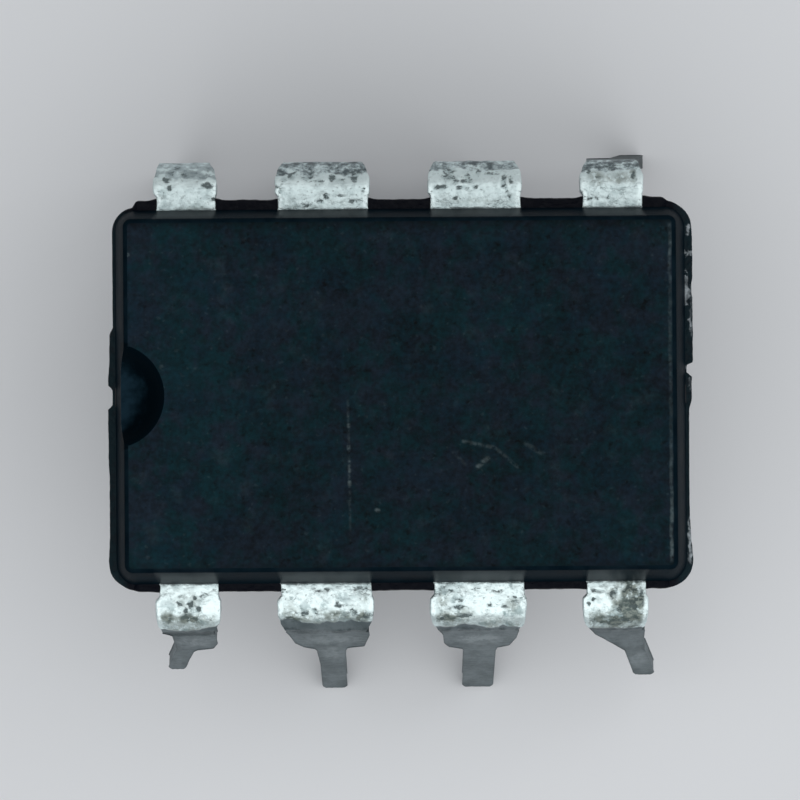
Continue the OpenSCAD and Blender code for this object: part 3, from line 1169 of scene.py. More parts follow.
    def _lip_at(self, at: Vector, torn: float, fine: float) -> float:
        """Reach of the thin flash at one of the two ends.

        Args:
            at: Place on the parting outline.
            torn: Coarse noise there.
            fine: Fine noise there.

        Returns:
            The reach, less over the tie bar at the notch and in the gaps of the far end.
        """
        uneven = 0.95 + 0.06 * torn + 0.06 * fine
        if at.x < 0:
            tie = ramp_at(abs(at.y), self.tie_w / 2, self.tie_fade)
            return table(self.notch_lip, at.y) * min(1.0, uneven) * (0.40 + 0.60 * tie)
        gap = 1 - 0.85 * ramp(abs(at.y - self.gap_y), *self.gap_fade)
        bite = 1 - 0.12 * ramp(abs(at.y - self.bite_y), *self.bite_fade)
        return table(self.far_lip, at.y) * min(1.0, uneven) * gap * bite

    def _notch_cutter(self) -> bmesh.types.BMesh:
        """Turns the shape that cuts the half-moon notch.

        Returns:
            The closed shape.
        """
        top = self.part_z + self.upper
        floor = top - self.notch_depth
        x = self.notch_in - self.length / 2
        run = self.notch_r - self.notch_floor_r
        profile = [(0.0, floor)]
        profile += [(self.notch_floor_r + r * run, floor + z * self.notch_depth) for r, z in self.notch_curve]
        profile += [(self.notch_r + r, top + z) for r, z in self.notch_rim]
        profile += [(0.0, top + self.notch_rim[-1][1])]
        cutter = bmesh.new()
        verts = [cutter.verts.new((x + r, 0, z)) for r, z in profile]
        edges = [cutter.edges.new(pair) for pair in zip(verts, verts[1:])]
        bmesh.ops.spin(cutter, geom=verts + edges, cent=(x, 0, 0), axis=(0, 0, 1), dvec=(0, 0, 0),
                       angle=math.tau, steps=self.notch_steps, use_merge=True)
        bmesh.ops.remove_doubles(cutter, verts=cutter.verts, dist=self.notch_weld)
        bmesh.ops.recalc_face_normals(cutter, faces=cutter.faces)
        for face in cutter.faces:
            face.material_index = Skin.WALL.value
        return cutter

    def _number_level_faces(self, bm: bmesh.types.BMesh) -> None:
        """Gives the top and the underside the number of the matt faces.

        Args:
            bm: Finished body.
        """
        bm.normal_update()
        for face in bm.faces:
            height = face.calc_center_median().z - self.part_z
            outside = height > self.upper - self.face_gap or height < self.face_gap - self.lower
            if outside and abs(face.normal.z) > LEVEL:
                face.material_index = Skin.FACE.value


def subtract(solid: bmesh.types.BMesh, cutter: bmesh.types.BMesh) -> bmesh.types.BMesh:
    """Takes one closed shape out of another with a Boolean modifier.

    Args:
        solid: Shape to cut, which is freed.
        cutter: Shape to take away, which is freed.

    Returns:
        The cut shape.
    """
    objects = []
    for name, shape in (("uncut", solid), ("cutter", cutter)):
        mesh = bpy.data.meshes.new(name)
        shape.to_mesh(mesh)
        shape.free()
        for _ in Skin:
            mesh.materials.append(None)
        objects.append(bpy.data.objects.new(name, mesh))
        bpy.context.scene.collection.objects.link(objects[-1])
    cut = objects[0].modifiers.new("cut", "BOOLEAN")
    cut.operation, cut.solver, cut.object = "DIFFERENCE", "EXACT", objects[1]
    made = bmesh.new()
    made.from_object(objects[0], bpy.context.evaluated_depsgraph_get())
    for item in objects:
        bpy.data.meshes.remove(item.data)
    return made


@dataclass(frozen=True)
class Lump:
    """An uneven height with so many waves a millimetre."""

    height: float
    waves: float
    seed: float

    def at(self, point: Vector) -> float:
        """Height at a point, above or below the middle."""
        return self.height * rough(point, self.waves, self.seed)


@dataclass(frozen=True)
class Mark:
    """A pit, a stain or a scuff on a lead, by its place across the part and along the strip."""

    x: float
    along: float
    across: float
    length: float
    strength: float

    def at(self, x: float, along: float, wobble: float) -> float:
        """Strength of the mark at a place, with an outline that is uneven by a share of its size."""
        gap = math.hypot((x - self.x) / self.across, (along - self.along) / self.length)
        return self.strength * ramp(gap + wobble, *MARK_FADE)


def marks(*rows: tuple[float, float, float, float, float]) -> tuple[Mark, ...]:
    """Marks from rows of their five numbers."""
    return tuple(Mark(*row) for row in rows)


@dataclass(frozen=True)
class LeadWear:
    """What sets one lead apart: its break, its lean, its solder's edge, its pits, stains and scuffs, and
    where it has painted shade.
    """

    missing: float = 0.0
    coat_edge: float = 0.54
    coat_bulge: float = 0.0
    # Painted shade under the coat on the front row, and how many dark spots lie past the coat on the back
    # row.
    crease: float = 0.0
    crease_at: float = 0.48
    crease_length: float = 0.6
    # Grime with painted shade where the coat ends and the bend turns down.
    grime_and_shade: float = 0.0
    # Painted shade on the blade's end.
    tip_shade: float = 0.0
    lean: float | None = None
    left: Stops = ()
    right: Stops = ()
    pits: tuple[Mark, ...] = ()
    stains: tuple[Mark, ...] = ()
    scuffs: tuple[Mark, ...] = ()


LEAD_WEAR: tuple[LeadWear, ...] = (
    # Lead 1, broken off short and bent sideways.
    LeadWear(
        missing=1.85, coat_edge=0.60, coat_bulge=0.12, crease=1.0, crease_at=0.72, crease_length=0.35,
        grime_and_shade=0.55,
        left=((0.95, 0.22), (1.2, 0.06), (2.4, 0.04), (2.8, 0.10), (3.95, 0.25)),
        right=(
            (0.95, 0.69), (1.9, 0.70), (2.3, 0.62), (2.45, 0.34), (2.6, 0.27), (3.3, 0.16), (3.95, 0.08),
        ),
        pits=marks(
            (-3.50, 0.31, 0.06, 0.06, 0.8), (-3.38, 0.37, 0.04, 0.03, 0.7), (-3.59, 0.40, 0.03, 0.04, 0.8),
            (-3.68, 0.29, 0.06, 0.05, 0.45), (-3.30, 0.17, 0.08, 0.04, 0.35),
            (-3.44, 0.22, 0.03, 0.04, 0.5), (-3.70, 0.18, 0.03, 0.03, 0.4),
        ),
        stains=marks(
            (-3.55, 0.50, 0.23, 0.07, 0.95), (-3.90, 0.48, 0.14, 0.08, 0.8), (-3.55, 0.28, 0.22, 0.12, 0.3),
        ),
        scuffs=marks((-3.50, 1.75, 0.25, 0.40, 0.8)),
    ),
    # Lead 2, with a ragged blade.
    LeadWear(
        coat_edge=0.56, crease=0.6, crease_at=0.70, crease_length=0.30, grime_and_shade=0.55,
        left=((0.95, 0.69), (1.3, 0.63), (1.9, 0.56), (2.25, 0.42), (2.4, 0.24), (2.6, 0.20), (3.8, 0.16)),
        right=((0.95, 0.73), (1.3, 0.73), (2.2, 0.64), (2.35, 0.36), (2.6, 0.32), (3.8, 0.30)),
        pits=marks(
            (-1.62, 0.44, 0.06, 0.04, 0.9), (-1.44, 0.42, 0.03, 0.03, 0.8), (-1.06, 0.34, 0.06, 0.04, 0.6),
            (-0.82, 0.42, 0.07, 0.04, 0.6), (-1.79, 0.55, 0.13, 0.02, 0.9), (-0.56, 0.48, 0.07, 0.06, 0.7),
            (-1.32, 0.09, 0.15, 0.03, 0.4), (-1.97, 0.11, 0.05, 0.07, 0.35), (-0.68, 0.08, 0.12, 0.04, 0.4),
        ),
        stains=marks(
            (-1.10, 0.46, 0.32, 0.06, 0.75), (-0.64, 0.50, 0.16, 0.08, 0.9), (-1.84, 0.52, 0.20, 0.05, 0.9),
            (-0.64, 0.27, 0.08, 0.10, 0.3), (-1.94, 0.32, 0.13, 0.11, 0.3),
        ),
        scuffs=marks((-1.20, 1.65, 0.45, 0.38, 0.65), (-1.22, 2.80, 0.18, 0.60, 0.6)),
    ),
    # Lead 3, with a ragged blade.
    LeadWear(
        coat_edge=0.66, crease=0.55, crease_at=0.70, crease_length=0.20, grime_and_shade=0.50,
        left=((0.95, 0.66), (1.3, 0.60), (2.0, 0.58), (2.3, 0.50), (2.5, 0.27), (2.7, 0.24)),
        right=((0.95, 0.70), (1.6, 0.66), (2.2, 0.56), (2.4, 0.36), (2.7, 0.33)),
        pits=marks(
            (0.92, 0.37, 0.11, 0.04, 0.8), (1.06, 0.48, 0.14, 0.03, 0.85), (1.45, 0.36, 0.07, 0.03, 0.5),
            (1.87, 0.28, 0.06, 0.08, 0.6), (1.69, 0.36, 0.07, 0.02, 0.5), (0.64, 0.53, 0.12, 0.04, 0.6),
            (0.57, 0.14, 0.07, 0.06, 0.45), (0.86, 0.12, 0.15, 0.03, 0.4), (0.97, 0.26, 0.05, 0.06, 0.55),
            (1.20, 0.10, 0.09, 0.02, 0.4), (1.57, 0.12, 0.09, 0.04, 0.35),
        ),
        stains=marks(
            (0.74, 0.52, 0.20, 0.07, 0.9), (0.66, 0.27, 0.14, 0.14, 0.4), (1.84, 0.36, 0.12, 0.10, 0.5),
            (1.02, 0.45, 0.20, 0.07, 0.4),
        ),
        scuffs=marks((1.32, 1.65, 0.32, 0.38, 0.95)),
    ),
    # Lead 4, bent sideways with its end missing.
    LeadWear(
        missing=1.05, coat_edge=0.70, crease=0.5, crease_at=0.74, crease_length=0.25, grime_and_shade=0.80,
        left=((0.95, 0.66), (1.25, 0.60), (2.0, 0.31), (2.75, 0.03), (4.7, -0.19)),
        right=((0.95, 0.26), (2.6, 0.29), (2.75, 0.34), (4.7, 0.58)),
        pits=marks(
            (3.18, 0.28, 0.03, 0.03, 0.9), (3.10, 0.35, 0.03, 0.02, 0.8), (3.25, 0.14, 0.12, 0.03, 0.6),
            (3.53, 0.17, 0.07, 0.08, 0.6), (3.80, 0.11, 0.11, 0.06, 0.65), (3.86, 0.33, 0.07, 0.10, 0.65),
            (3.58, 0.41, 0.10, 0.05, 0.6), (3.98, 0.24, 0.04, 0.09, 0.7), (3.63, 0.58, 0.12, 0.03, 0.6),
        ),
        stains=marks(
            (3.82, 0.30, 0.25, 0.40, 1.0), (3.50, 0.56, 0.40, 0.10, 1.0), (3.23, 0.50, 0.14, 0.07, 0.6),
            (3.52, 0.18, 0.10, 0.12, 0.6),
        ),
        scuffs=marks((4.05, 3.50, 0.14, 0.60, 0.6)),
    ),
    # Lead 5, leaning out, bent sideways, with painted shade on its blade's end.
    LeadWear(
        crease=0.75, tip_shade=1.0, lean=math.radians(4.5),
        left=((2.62, 0.63), (2.84, 0.23), (5.70, -0.05)),
        right=((2.62, 0.23), (2.84, 0.23), (5.70, 0.51)),
        pits=marks(
            (3.16, 0.51, 0.03, 0.03, 0.8), (3.90, 0.45, 0.04, 0.05, 0.7), (3.49, 0.17, 0.03, 0.03, 0.7),
            (3.55, 0.62, 0.10, 0.04, 0.5), (3.46, 0.56, 0.07, 0.03, 0.5), (3.18, 0.13, 0.13, 0.04, 0.4),
            (3.38, 0.61, 0.08, 0.04, 0.4),
        ),
        stains=marks(
            (3.29, 0.44, 0.12, 0.08, 0.75), (3.68, 0.44, 0.20, 0.06, 0.7), (3.90, 0.46, 0.06, 0.08, 0.9),
        ),
    ),
    # Lead 6, scored across its shoulder.
    LeadWear(
        coat_edge=0.56, crease=0.55, lean=math.radians(2),
        pits=marks(
            (0.68, 0.33, 0.13, 0.015, 0.9), (1.04, 0.33, 0.13, 0.015, 0.85), (1.25, 0.33, 0.05, 0.02, 0.7),
            (0.82, 0.54, 0.08, 0.05, 0.6), (1.14, 0.47, 0.07, 0.04, 0.65), (1.75, 0.44, 0.04, 0.07, 0.7),
            (1.78, 0.31, 0.03, 0.05, 0.6), (0.93, 0.15, 0.03, 0.03, 0.7), (1.84, 0.16, 0.03, 0.04, 0.7),
            (1.43, 0.60, 0.15, 0.04, 0.5), (1.31, 0.52, 0.05, 0.05, 0.6), (0.80, 0.46, 0.11, 0.03, 0.75),
            (0.94, 0.41, 0.05, 0.05, 0.65), (1.12, 0.41, 0.10, 0.02, 0.75), (1.73, 0.38, 0.04, 0.07, 0.85),
            (1.86, 0.42, 0.03, 0.05, 0.6), (1.52, 0.50, 0.12, 0.02, 0.55),
        ),
        stains=marks((1.19, 0.11, 0.67, 0.03, 0.25)),
    ),
    # Lead 7, with the most pits.
    LeadWear(
        coat_edge=0.50, crease=0.65,
        pits=marks(
            (-1.12, 0.46, 0.06, 0.05, 0.9), (-1.49, 0.49, 0.05, 0.05, 0.8), (-1.77, 0.54, 0.07, 0.03, 0.5),
            (-1.22, 0.20, 0.04, 0.05, 0.7), (-1.30, 0.10, 0.06, 0.05, 0.6), (-1.56, 0.05, 0.12, 0.03, 0.55),
            (-0.71, 0.11, 0.10, 0.02, 0.6), (-2.04, 0.35, 0.03, 0.02, 0.9), (-1.98, 0.28, 0.03, 0.03, 0.8),
            (-0.98, 0.20, 0.07, 0.02, 0.35), (-0.71, 0.54, 0.07, 0.06, 0.6), (-0.60, 0.31, 0.03, 0.02, 0.6),
            (-1.56, 0.46, 0.09, 0.03, 0.75), (-1.78, 0.48, 0.07, 0.05, 0.7), (-0.76, 0.46, 0.07, 0.06, 0.8),
            (-0.97, 0.43, 0.10, 0.02, 0.6), (-1.34, 0.42, 0.12, 0.02, 0.6), (-1.92, 0.44, 0.05, 0.04, 0.6),
        ),
        stains=marks((-1.64, 0.03, 0.33, 0.03, 0.25)),
    ),
    # Lead 8, with few pits.
    LeadWear(
        coat_edge=0.46,
        pits=marks(
            (-3.88, 0.45, 0.06, 0.04, 0.9), (-3.20, 0.37, 0.10, 0.03, 0.95), (-3.82, 0.34, 0.03, 0.04, 0.6),
            (-3.09, 0.16, 0.04, 0.02, 0.8), (-3.95, 0.30, 0.03, 0.02, 0.6), (-3.57, 0.53, 0.06, 0.03, 0.5),
            (-3.24, 0.59, 0.10, 0.03, 0.4),
        ),
        stains=marks((-3.37, 0.01, 0.33, 0.03, 0.3)),
    ),
)


@dataclass(frozen=True)
class LeadSizes:
    """Sizes that all eight leads share."""

    pitch: float = 2.54
    body_half: float = 3.125
    part_z: float = 2.1
    strip_t: float = 0.25
    shoulder_w: float = 1.5
    seat_w: float = 1.26
    tip_w: float = 0.46
    bend_r: float = 0.25
    bend_y: float = 3.435
    step_h: float = 0.22
    # The tip, which falls a little short so that its lumps stay inside the solid's reach, and its taper.
    tip_reach: float = 3.25
    tip_gap: float = 0.03
    tip_taper: float = 0.15
    tip_narrowing: float = 0.06
    front_lean: float = math.radians(13)
    back_lean: float = math.radians(1.5)
    # The finger inside the resin, the arm of a corner lead's finger, and the neck between finger and side.
    finger_w: float = 0.8
    finger_y: float = 1.6
    arm_x: float = 2.1
    arm_y: float = 0.45
    arm_slack: float = 0.08
    neck_y: float = 2.525
    neck_end: float = 2.225
    # Width that the left and the right side lack, each where the lead leaves the body and round the bend.
    front_trim: tuple[Span, Span] = ((0.035, 0.0), (0.0, 0.0))
    back_trim: tuple[Span, Span] = ((0.015, 0.0), (0.020, 0.030))
    trim_run: Span = (-0.02, 0.20)
    # What the half width gains or loses along the bend, and the share of the loss that a narrow side has.
    bend_gains: Stops = ((0.27, 0.03), (0.46, 0.03), (0.60, 0.005), (0.72, -0.050), (0.88, -0.085))
    narrow_loss: float = 0.4
    # Softened edges: radius, steps, cuts through the strip, and the angle from which an edge is softened.
    edge_r: float = 0.022
    edge_steps: int = 2
    edge_cuts: int = 3
    rim_angle: float = 0.9
    # Columns of the mesh, where its runs of rows end past the places they are named for, and the rows' gaps.
    columns: int = 56
    rows_past_body: float = -0.08
    rows_past_bend: float = 0.1
    rows_past_seat: float = 0.3
    row_gaps: tuple[float, ...] = (0.16, 0.025, 0.045, 0.06)
    # Where the marks fade, from the place they are named for.
    coat_fade: Span = (0.05, -0.05)
    # Fade of the grimy band with painted shade at the coat's edge.
    grime_and_shade_fade: Span = (-0.26, -0.04)
    crease_start: Span = (-0.03, 0.06)
    crease_end: Span = (0.15, -0.05)
    rim_fade: Span = (0.085, 0.015)
    # Where the painted shade on the blade's end sets in.
    tip_shade_rise: Span = (2.3, 2.8)
    pit_floor: float = -0.1
    wobble: float = 0.35
    wobble_waves: float = 9.0
    # Relief of the metal and where along the strip it sets in.
    lumps: tuple[Lump, ...] = (Lump(0.014, 3.2, 4.0), Lump(0.008, 8.0, 6.5), Lump(0.003, 20.0, 8.0))
    coat_jags: tuple[Lump, ...] = (Lump(0.06, 3.0, 2.5), Lump(0.025, 11.0, 4.5))
    break_jags: Lump = Lump(0.03, 5.0, 2.0)
    break_length: float = 0.2
    body_fade: Span = (-0.06, 0.0)
    tip_fade: Span = (0.02, -0.25)
    blade_rise: Span = (0.7, 1.1)
    coat_t: float = 0.022
    pit_depth: float = 0.014
    blade_thinning: float = 0.012
    blade_shift: float = 0.010

    @property
    def mid_r(self) -> float:
        """Radius of the bend at the middle of the strip."""
        return self.bend_r + self.strip_t / 2

    @property
    def bend_z(self) -> float:
        """Height of the bend's axis."""
        return self.part_z - self.mid_r


@dataclass
class Lead:
    """One lead, stamped flat, bent down and covered with solder."""

    pin: int
    sizes: LeadSizes
    wear: LeadWear

    @property
    def row(self) -> Row:
        """Row that the lead stands in."""
        return Row.FRONT if self.pin <= LEADS_A_ROW else Row.BACK

    @property
    def column(self) -> int:
        """Place in its row, counted from the notch."""
        return self.pin - 1 if self.row is Row.FRONT else 2 * LEADS_A_ROW - self.pin

    @property
    def at_corner(self) -> bool:
        """Whether the lead is the first or last of its row."""
        return self.column in (0, LEADS_A_ROW - 1)

    @property
    def x(self) -> float:
        """Middle of the lead along the body."""
        return (self.column - (LEADS_A_ROW - 1) / 2) * self.sizes.pitch

    @property
    def turn(self) -> float:
        """Angle of the bend."""
        usual = self.sizes.front_lean if self.row is Row.FRONT else self.sizes.back_lean
        return math.pi / 2 - (usual if self.wear.lean is None else self.wear.lean)

    @property
    def bend_start(self) -> float:
        """Distance of the bend from the body's side, along the strip."""
        return self.sizes.bend_y - self.sizes.body_half

    @property
    def bend_end(self) -> float:
        """Distance of the bend's end from the body's side, along the strip."""
        return self.bend_start + self.sizes.mid_r * self.turn

    @property
    def seat(self) -> float:
        """Where the wide part ends, along the strip."""
        drop = self.sizes.bend_z + self.sizes.bend_r * math.cos(self.turn)
        return self.bend_end + drop / math.sin(self.turn)

    @property
    def tip(self) -> float:
        """Where the lead ends, along the strip."""
        full = self.seat + self.sizes.tip_reach / math.sin(self.turn)
        return full - self.wear.missing - self.sizes.tip_gap

    @cached_property
    def halves(self) -> tuple[list[Span], list[Span]]:
        """Half widths to the left and to the right, as stops along the strip."""
        left, right = self.sizes.front_trim if self.row is Row.FRONT else self.sizes.back_trim
        return self._half(0, left, self.wear.left), self._half(LEADS_A_ROW - 1, right, self.wear.right)

    def build(self, material: bpy.types.Material) -> bpy.types.Object:
        """Makes the lead.

        Args:
            material: Finish of the soldered metal.

        Returns:
            The finished piece.
        """
        bm = self._blank()
        self._note(bm)
        self._bend(bm)
        self._solder(bm)
        piece = finish_mesh(bm, f"lead_{self.pin}_soldered", [material])
        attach(piece, ROOT)
        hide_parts(f"lead_{self.pin}")
        return piece

    def _rows(self) -> list[float]:
        """Places of the mesh's rows along the strip, close together where the lead shows.

        Returns:
            The places, from the finger inside the resin to the tip.
        """
        size = self.sizes
        inner = (size.arm_y if self.at_corner else size.finger_y) - size.body_half
        past_bend, past_seat = self.bend_end + size.rows_past_bend, self.seat + size.rows_past_seat
        ends = (inner, size.rows_past_body, past_bend, past_seat, self.tip)
        rows: list[float] = []
        for low, high, gap in zip(ends, ends[1:], size.row_gaps):
            count = max(1, round((high - low) / gap))
            rows += [low + (high - low) * i / count for i in range(count)]
        return rows + [self.tip]

    def _half(self, corner_column: int, trim: Span, worn_blade_and_edge_highlight: Stops) -> list[Span]:
        """Half widths on one side of the lead.

        Args:
            corner_column: Column of the lead that is narrow on this side.
            trim: Width that the side lacks where it leaves the body and round the bend.
            worn_blade_and_edge_highlight: Outline of a blade with wear, empty for the usual one.

        Returns:
            Stops of places along the strip and half widths there.
        """
        size = self.sizes
        wide, seat, tip = size.shoulder_w / 2, size.seat_w / 2, size.tip_w / 2
        neck, neck_end = size.neck_y - size.body_half, size.neck_end - size.body_half
        outer = self.column == corner_column
        full, usual, loss = (tip, tip, size.narrow_loss) if outer else (wide, seat, 1.0)
        finger = size.finger_w / 2
        if outer:
            finger = size.finger_w - wide
        elif self.at_corner:
            finger = wide
        blade = list(worn_blade_and_edge_highlight) or [(self.seat, usual), (self.seat + size.step_h, tip)]
        last = blade[-1][1]
        blade += [(self.tip - size.tip_taper, last), (self.tip, last - size.tip_narrowing)]
        at_body, bent = full - trim[0], full - trim[1]
        bend = [(at, bent + (gain if gain > 0 else gain * loss)) for at, gain in size.bend_gains]
        before, after = size.trim_run
        inside = [(neck_end, finger), (neck, full), (before, full)]
        return inside + [(0.0, at_body), (after, at_body)] + bend + blade

    def _blank(self) -> bmesh.types.BMesh:
        """Stamps the flat blank: a grid with the lead's outline, given its thickness and softened edges.

        Returns:
            The blank, with X across, Y along the strip from the body's side, and Z through it.
        """
        size = self.sizes
        rows = self._rows()
        left, right = self.halves
        bm = bmesh.new()
        bmesh.ops.create_grid(bm, x_segments=size.columns, y_segments=len(rows) - 1, size=1)
        for vert in bm.verts:
            along = rows[round((vert.co.y + 1) / 2 * (len(rows) - 1))]
            share = (vert.co.x + 1) / 2
            low, high = -table(left, along), table(right, along)
            jag = size.break_jags.at(Vector((self.x, along, share)))
            jag *= ramp(along, self.tip - size.break_length, self.tip)
            vert.co = (self.x + low + share * (high - low), along + jag, size.strip_t / 2)
        if self.at_corner:
            self._arm(bm)
        bmesh.ops.recalc_face_normals(bm, faces=bm.faces)
        if bm.faces[0].normal.z < 0:
            bmesh.ops.reverse_faces(bm, faces=bm.faces)
        bmesh.ops.solidify(bm, geom=bm.faces[:], thickness=size.strip_t)
        upright = [e for e in bm.edges if abs(e.verts[0].co.z - e.verts[1].co.z) > LEVEL * size.strip_t]
        bmesh.ops.subdivide_edges(bm, edges=upright, cuts=size.edge_cuts, use_grid_fill=True)
        bmesh.ops.recalc_face_normals(bm, faces=bm.faces)
        rim = [e for e in bm.edges if len(e.link_faces) == 2 and e.calc_face_angle() > size.rim_angle]
        bmesh.ops.bevel(bm, geom=rim, offset=size.edge_r, offset_type="OFFSET", segments=size.edge_steps,
                        profile=0.5, affect="EDGES", clamp_overlap=True, material=-1)
        return bm

    def _arm(self, bm: bmesh.types.BMesh) -> None:
        """Draws out the arm of a corner lead's finger, towards the end of the pad.

        Args:
            bm: Flat grid of the lead.
        """
        size = self.sizes
        side = -1 if self.column == 0 else 1
        inner = abs(self.x) - size.shoulder_w / 2
        reach = size.arm_y + size.finger_w - size.body_half + size.arm_slack
        edge = [
            e for e in bm.edges
            if e.is_boundary and all(abs(abs(v.co.x) - inner) < TOUCH and v.co.y < reach for v in e.verts)
        ]
        made = bmesh.ops.extrude_edge_only(bm, edges=edge)["geom"]
        verts = only(made, bmesh.types.BMVert)
        bmesh.ops.translate(bm, vec=(side * (size.arm_x - inner), 0, 0), verts=verts)

    def _coat_edge(self, x: float) -> float:
        """Where the coat of solder ends along the strip.

        Args:
            x: Place across the part.

        Returns:
            The place along the strip.
        """
        middle = 1 - min(1.0, abs(x - self.x) / (self.sizes.shoulder_w / 2)) ** 2
        point = Vector((x, self.row.value, 0.0))
        uneven = sum(jag.at(point) for jag in self.sizes.coat_jags)
        return self.wear.coat_edge + self.wear.coat_bulge * middle + uneven

    def _note(self, bm: bmesh.types.BMesh) -> None:
        """Writes the numbers for the finish on the blank's points.

        Args:
            bm: Flat blank of the lead.
        """
        layers = [bm.verts.layers.float.new(name) for name in NOTES]
        for vert in bm.verts:
            for layer, value in zip(layers, self._notes_at(*vert.co)):
                vert[layer] = value

    def _notes_at(self, x: float, along: float, up: float) -> tuple[float, ...]:
        """Numbers for the finish at one point of the blank.

        Args:
            x: Place across the part.
            along: Place along the strip.
            up: Height above the middle of the strip.

        Returns:
            The numbers in the order of NOTES.
        """
        size, wear = self.sizes, self.wear
        wobble = size.wobble * rough(Vector((x, along, 0.0)), size.wobble_waves, 1.0 + self.pin)
        pit, stain, scuff = (
            max((mark.at(x, along, wobble) for mark in group), default=0.0)
            for group in (wear.pits, wear.stains, wear.scuffs)
        )
        edge = self._coat_edge(x)
        coat = ramp_at(along, edge, size.coat_fade)
        # Grime with painted shade along the coat's edge.
        stain = max(stain, wear.grime_and_shade * ramp_at(along, edge, size.grime_and_shade_fade))
        start = wear.crease_at + edge - wear.coat_edge
        end = start + wear.crease_length
        # Painted shade under the coat on the front row, dark spots on the back row.
        crease = wear.crease * ramp_at(along, start, size.crease_start) * ramp_at(along, end, size.crease_end)
        left, right = (table(half, along) for half in self.halves)
        rim = ramp(min(x - self.x + left, self.x + right - x), *size.rim_fade)
        # Painted shade on the blade's end.
        tip_shade = wear.tip_shade * ramp(along, *size.tip_shade_rise)
        return along, coat, crease, pit if up > size.pit_floor else 0.0, stain, scuff, rim, tip_shade

    def _bend(self, bm: bmesh.types.BMesh) -> None:
        """Bends the flat blank down round the axis of the bend and puts it in its row.

        Args:
            bm: Flat blank of the lead.
        """
        size = self.sizes
        for vert in bm.verts:
            x, along, up = vert.co
            turn = min(self.turn, max(0.0, (along - self.bend_start) / size.mid_r))
            before = min(along, self.bend_start)
            after = max(0.0, along - self.bend_end)
            y = size.body_half + before + (size.mid_r + up) * math.sin(turn) + after * math.cos(turn)
            z = size.bend_z + (size.mid_r + up) * math.cos(turn) - after * math.sin(turn)
            vert.co = (x, self.row.value * y, z)
        bmesh.ops.recalc_face_normals(bm, faces=bm.faces)
        if bm.calc_volume(signed=True) < 0:
            bmesh.ops.reverse_faces(bm, faces=bm.faces)

    def _solder(self, bm: bmesh.types.BMesh) -> None:
        """Roughens the metal with lumps of solder, dents and pits.

        Args:
            bm: Bent lead.
        """
        size = self.sizes
        bm.normal_update()
        along, coat, pit = (bm.verts.layers.float[name] for name in ("along", "coat", "pit"))
        moves = []
        for vert in bm.verts:
            here = ramp(vert[along], *size.body_fade) * ramp_at(vert[along], self.tip, size.tip_fade)
            blade = ramp(vert[along], *size.blade_rise)
            lump = sum(lump.at(vert.co) for lump in size.lumps)
            thick = size.coat_t * vert[coat] - size.pit_depth * vert[pit] - size.blade_thinning * blade
            moves.append(here * ((1 - 0.6 * blade) * lump + thick) - size.blade_shift * blade)
        for vert, move in zip(bm.verts, moves):
            vert.co += vert.normal * move


@dataclass
class LeadRows:
    """The eight leads, in the order of their numbers."""

    sizes: LeadSizes = LeadSizes()
    wear: tuple[LeadWear, ...] = LEAD_WEAR

    def build(self) -> list[bpy.types.Object]:
        """Makes the eight leads."""
        metal = Solder().make()
        return [Lead(pin, self.sizes, wear).build(metal) for pin, wear in enumerate(self.wear, 1)]


@dataclass
class Inside:
    """The solids inside the body, which keep their shape and get a finish."""

    pad: PlainMetal = PlainMetal(
        "pad_copper", (0.72, 0.42, 0.28, 1), (0.35, 0.20, 0.13, 1), 0.38, dark_from=4.6
    )
    glue: PlainMetal = PlainMetal(
        "filled_adhesive", (0.52, 0.52, 0.50, 1), (0.30, 0.30, 0.29, 1), 0.55, metallic=0.6
    )
    silicon: PlainMetal = PlainMetal(
        "silicon_chip", (0.16, 0.17, 0.20, 1), (0.08, 0.09, 0.12, 1), 0.22, metallic=0.8
    )
    wire: PlainMetal = PlainMetal("bond_gold", (0.85, 0.62, 0.22, 1), (0.60, 0.42, 0.14, 1), 0.25)

    def dress(self) -> list[bpy.types.Object]:
        """Gives every inner solid its finish.

        Returns:
            The solids.
        """
        groups = (
            (self.pad, ["die_pad"]),
            (self.glue, ["die_attach"]),
            (self.silicon, ["die"]),
            (self.wire, [f"bond_wire_{pin + 1}" for pin in range(2 * LEADS_A_ROW)]),
        )
        dressed = []
        for finish, names in groups:
            material = finish.make()
            for name in names:
                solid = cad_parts[name]
                solid.data.materials.clear()
                solid.data.materials.append(material)
                dressed.append(solid)
        return dressed


@dataclass(frozen=True)
class SoftLight:
    """A square soft light."""

    name: str
    place: Triple
    side: float
    watts: float

    def hang(self, aim: Triple) -> None:
        """Hangs the light so that it looks at a point.

        Args:
            aim: Point to look at.
        """
        data = bpy.data.lights.new(self.name, "AREA")
        data.shape, data.size, data.energy = "SQUARE", self.side * MM, self.watts
        lamp = bpy.data.objects.new(self.name, data)
        lamp.location = Vector(self.place) * MM
        lamp.rotation_mode = "QUATERNION"
        lamp.rotation_quaternion = (Vector(aim) - Vector(self.place)).to_track_quat("-Z", "Y")
        lamp.visible_camera = False
        bpy.context.scene.collection.objects.link(lamp)


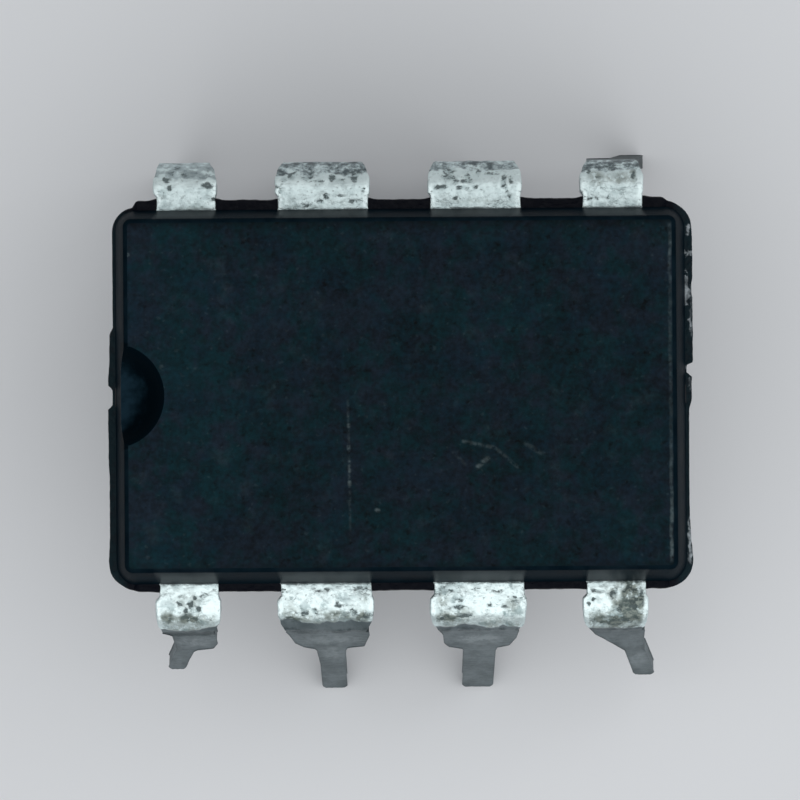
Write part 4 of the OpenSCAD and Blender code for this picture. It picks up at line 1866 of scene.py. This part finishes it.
@dataclass
class Studio:
    """Floor, light and camera."""

    floor_z: float = -3.26
    floor_half: float = 160.0
    room: Colour = (0.92, 0.96, 1.0, 1)
    room_strength: float = 0.24
    lights: tuple[SoftLight, ...] = (
        SoftLight("overhead", (15, -40, 140), 300, 0.33),
        SoftLight("side", (140, 60, 90), 90, 0.02),
    )
    aim: Triple = (-0.010, -0.072, 2.1)
    distance: float = 85.0
    tilt: float = math.radians(0.87)
    lean: float = math.radians(0.1)
    roll: float = math.radians(0.40)
    pixels_per_mm: float = 60.04
    image_side: int = 800
    sensor: float = 36.0
    clip: Span = (1.0, 2000.0)

    def build(self) -> None:
        """Makes the floor, the lights and the camera."""
        self._floor()
        self._world()
        for light in self.lights:
            light.hang(self.aim)
        self._camera()
        settings = bpy.context.scene.view_settings
        settings.view_transform, settings.look = "Standard", "None"

    def _floor(self) -> None:
        """Lays a plain pale floor under the tips."""
        bm = bmesh.new()
        bmesh.ops.create_grid(bm, x_segments=1, y_segments=1, size=self.floor_half)
        bmesh.ops.translate(bm, vec=(0, 0, self.floor_z), verts=bm.verts)
        finish_mesh(bm, "floor", [PaleFloor().make()])

    def _world(self) -> None:
        """Fills the room with a weak even light."""
        world = bpy.data.worlds.new("room")
        world.use_nodes = True
        back = world.node_tree.nodes["Background"]
        back.inputs["Color"].default_value = self.room
        back.inputs["Strength"].default_value = self.room_strength
        bpy.context.scene.world = world

    def _camera(self) -> None:
        """Sets the camera over the part as in the photograph."""
        back = Vector((math.sin(self.lean), -math.sin(self.tilt), 1.0)).normalized()
        side = Vector((math.sin(self.roll), math.cos(self.roll), 0.0)).cross(back).normalized()
        data = bpy.data.cameras.new("camera")
        data.sensor_width = self.sensor
        data.lens = self.pixels_per_mm * self.distance * self.sensor / self.image_side
        data.clip_start, data.clip_end = (distance * MM for distance in self.clip)
        camera = bpy.data.objects.new("camera", data)
        axes = Matrix((side, back.cross(side), back)).transposed()
        spot = (Vector(self.aim) + back * self.distance) * MM
        camera.matrix_world = Matrix.Translation(spot) @ axes.to_4x4()
        bpy.context.scene.collection.objects.link(camera)
        bpy.context.scene.camera = camera


def main() -> None:
    logging.basicConfig(level=logging.INFO, format="%(name)s: %(message)s")
    Studio().build()
    pieces = [MouldedBody().build(), *LeadRows().build(), *Inside().dress()]
    for piece in pieces:
        LOG.info("%s with %d faces", piece.name, len(piece.data.polygons))


if __name__ == "__main__":
    main()
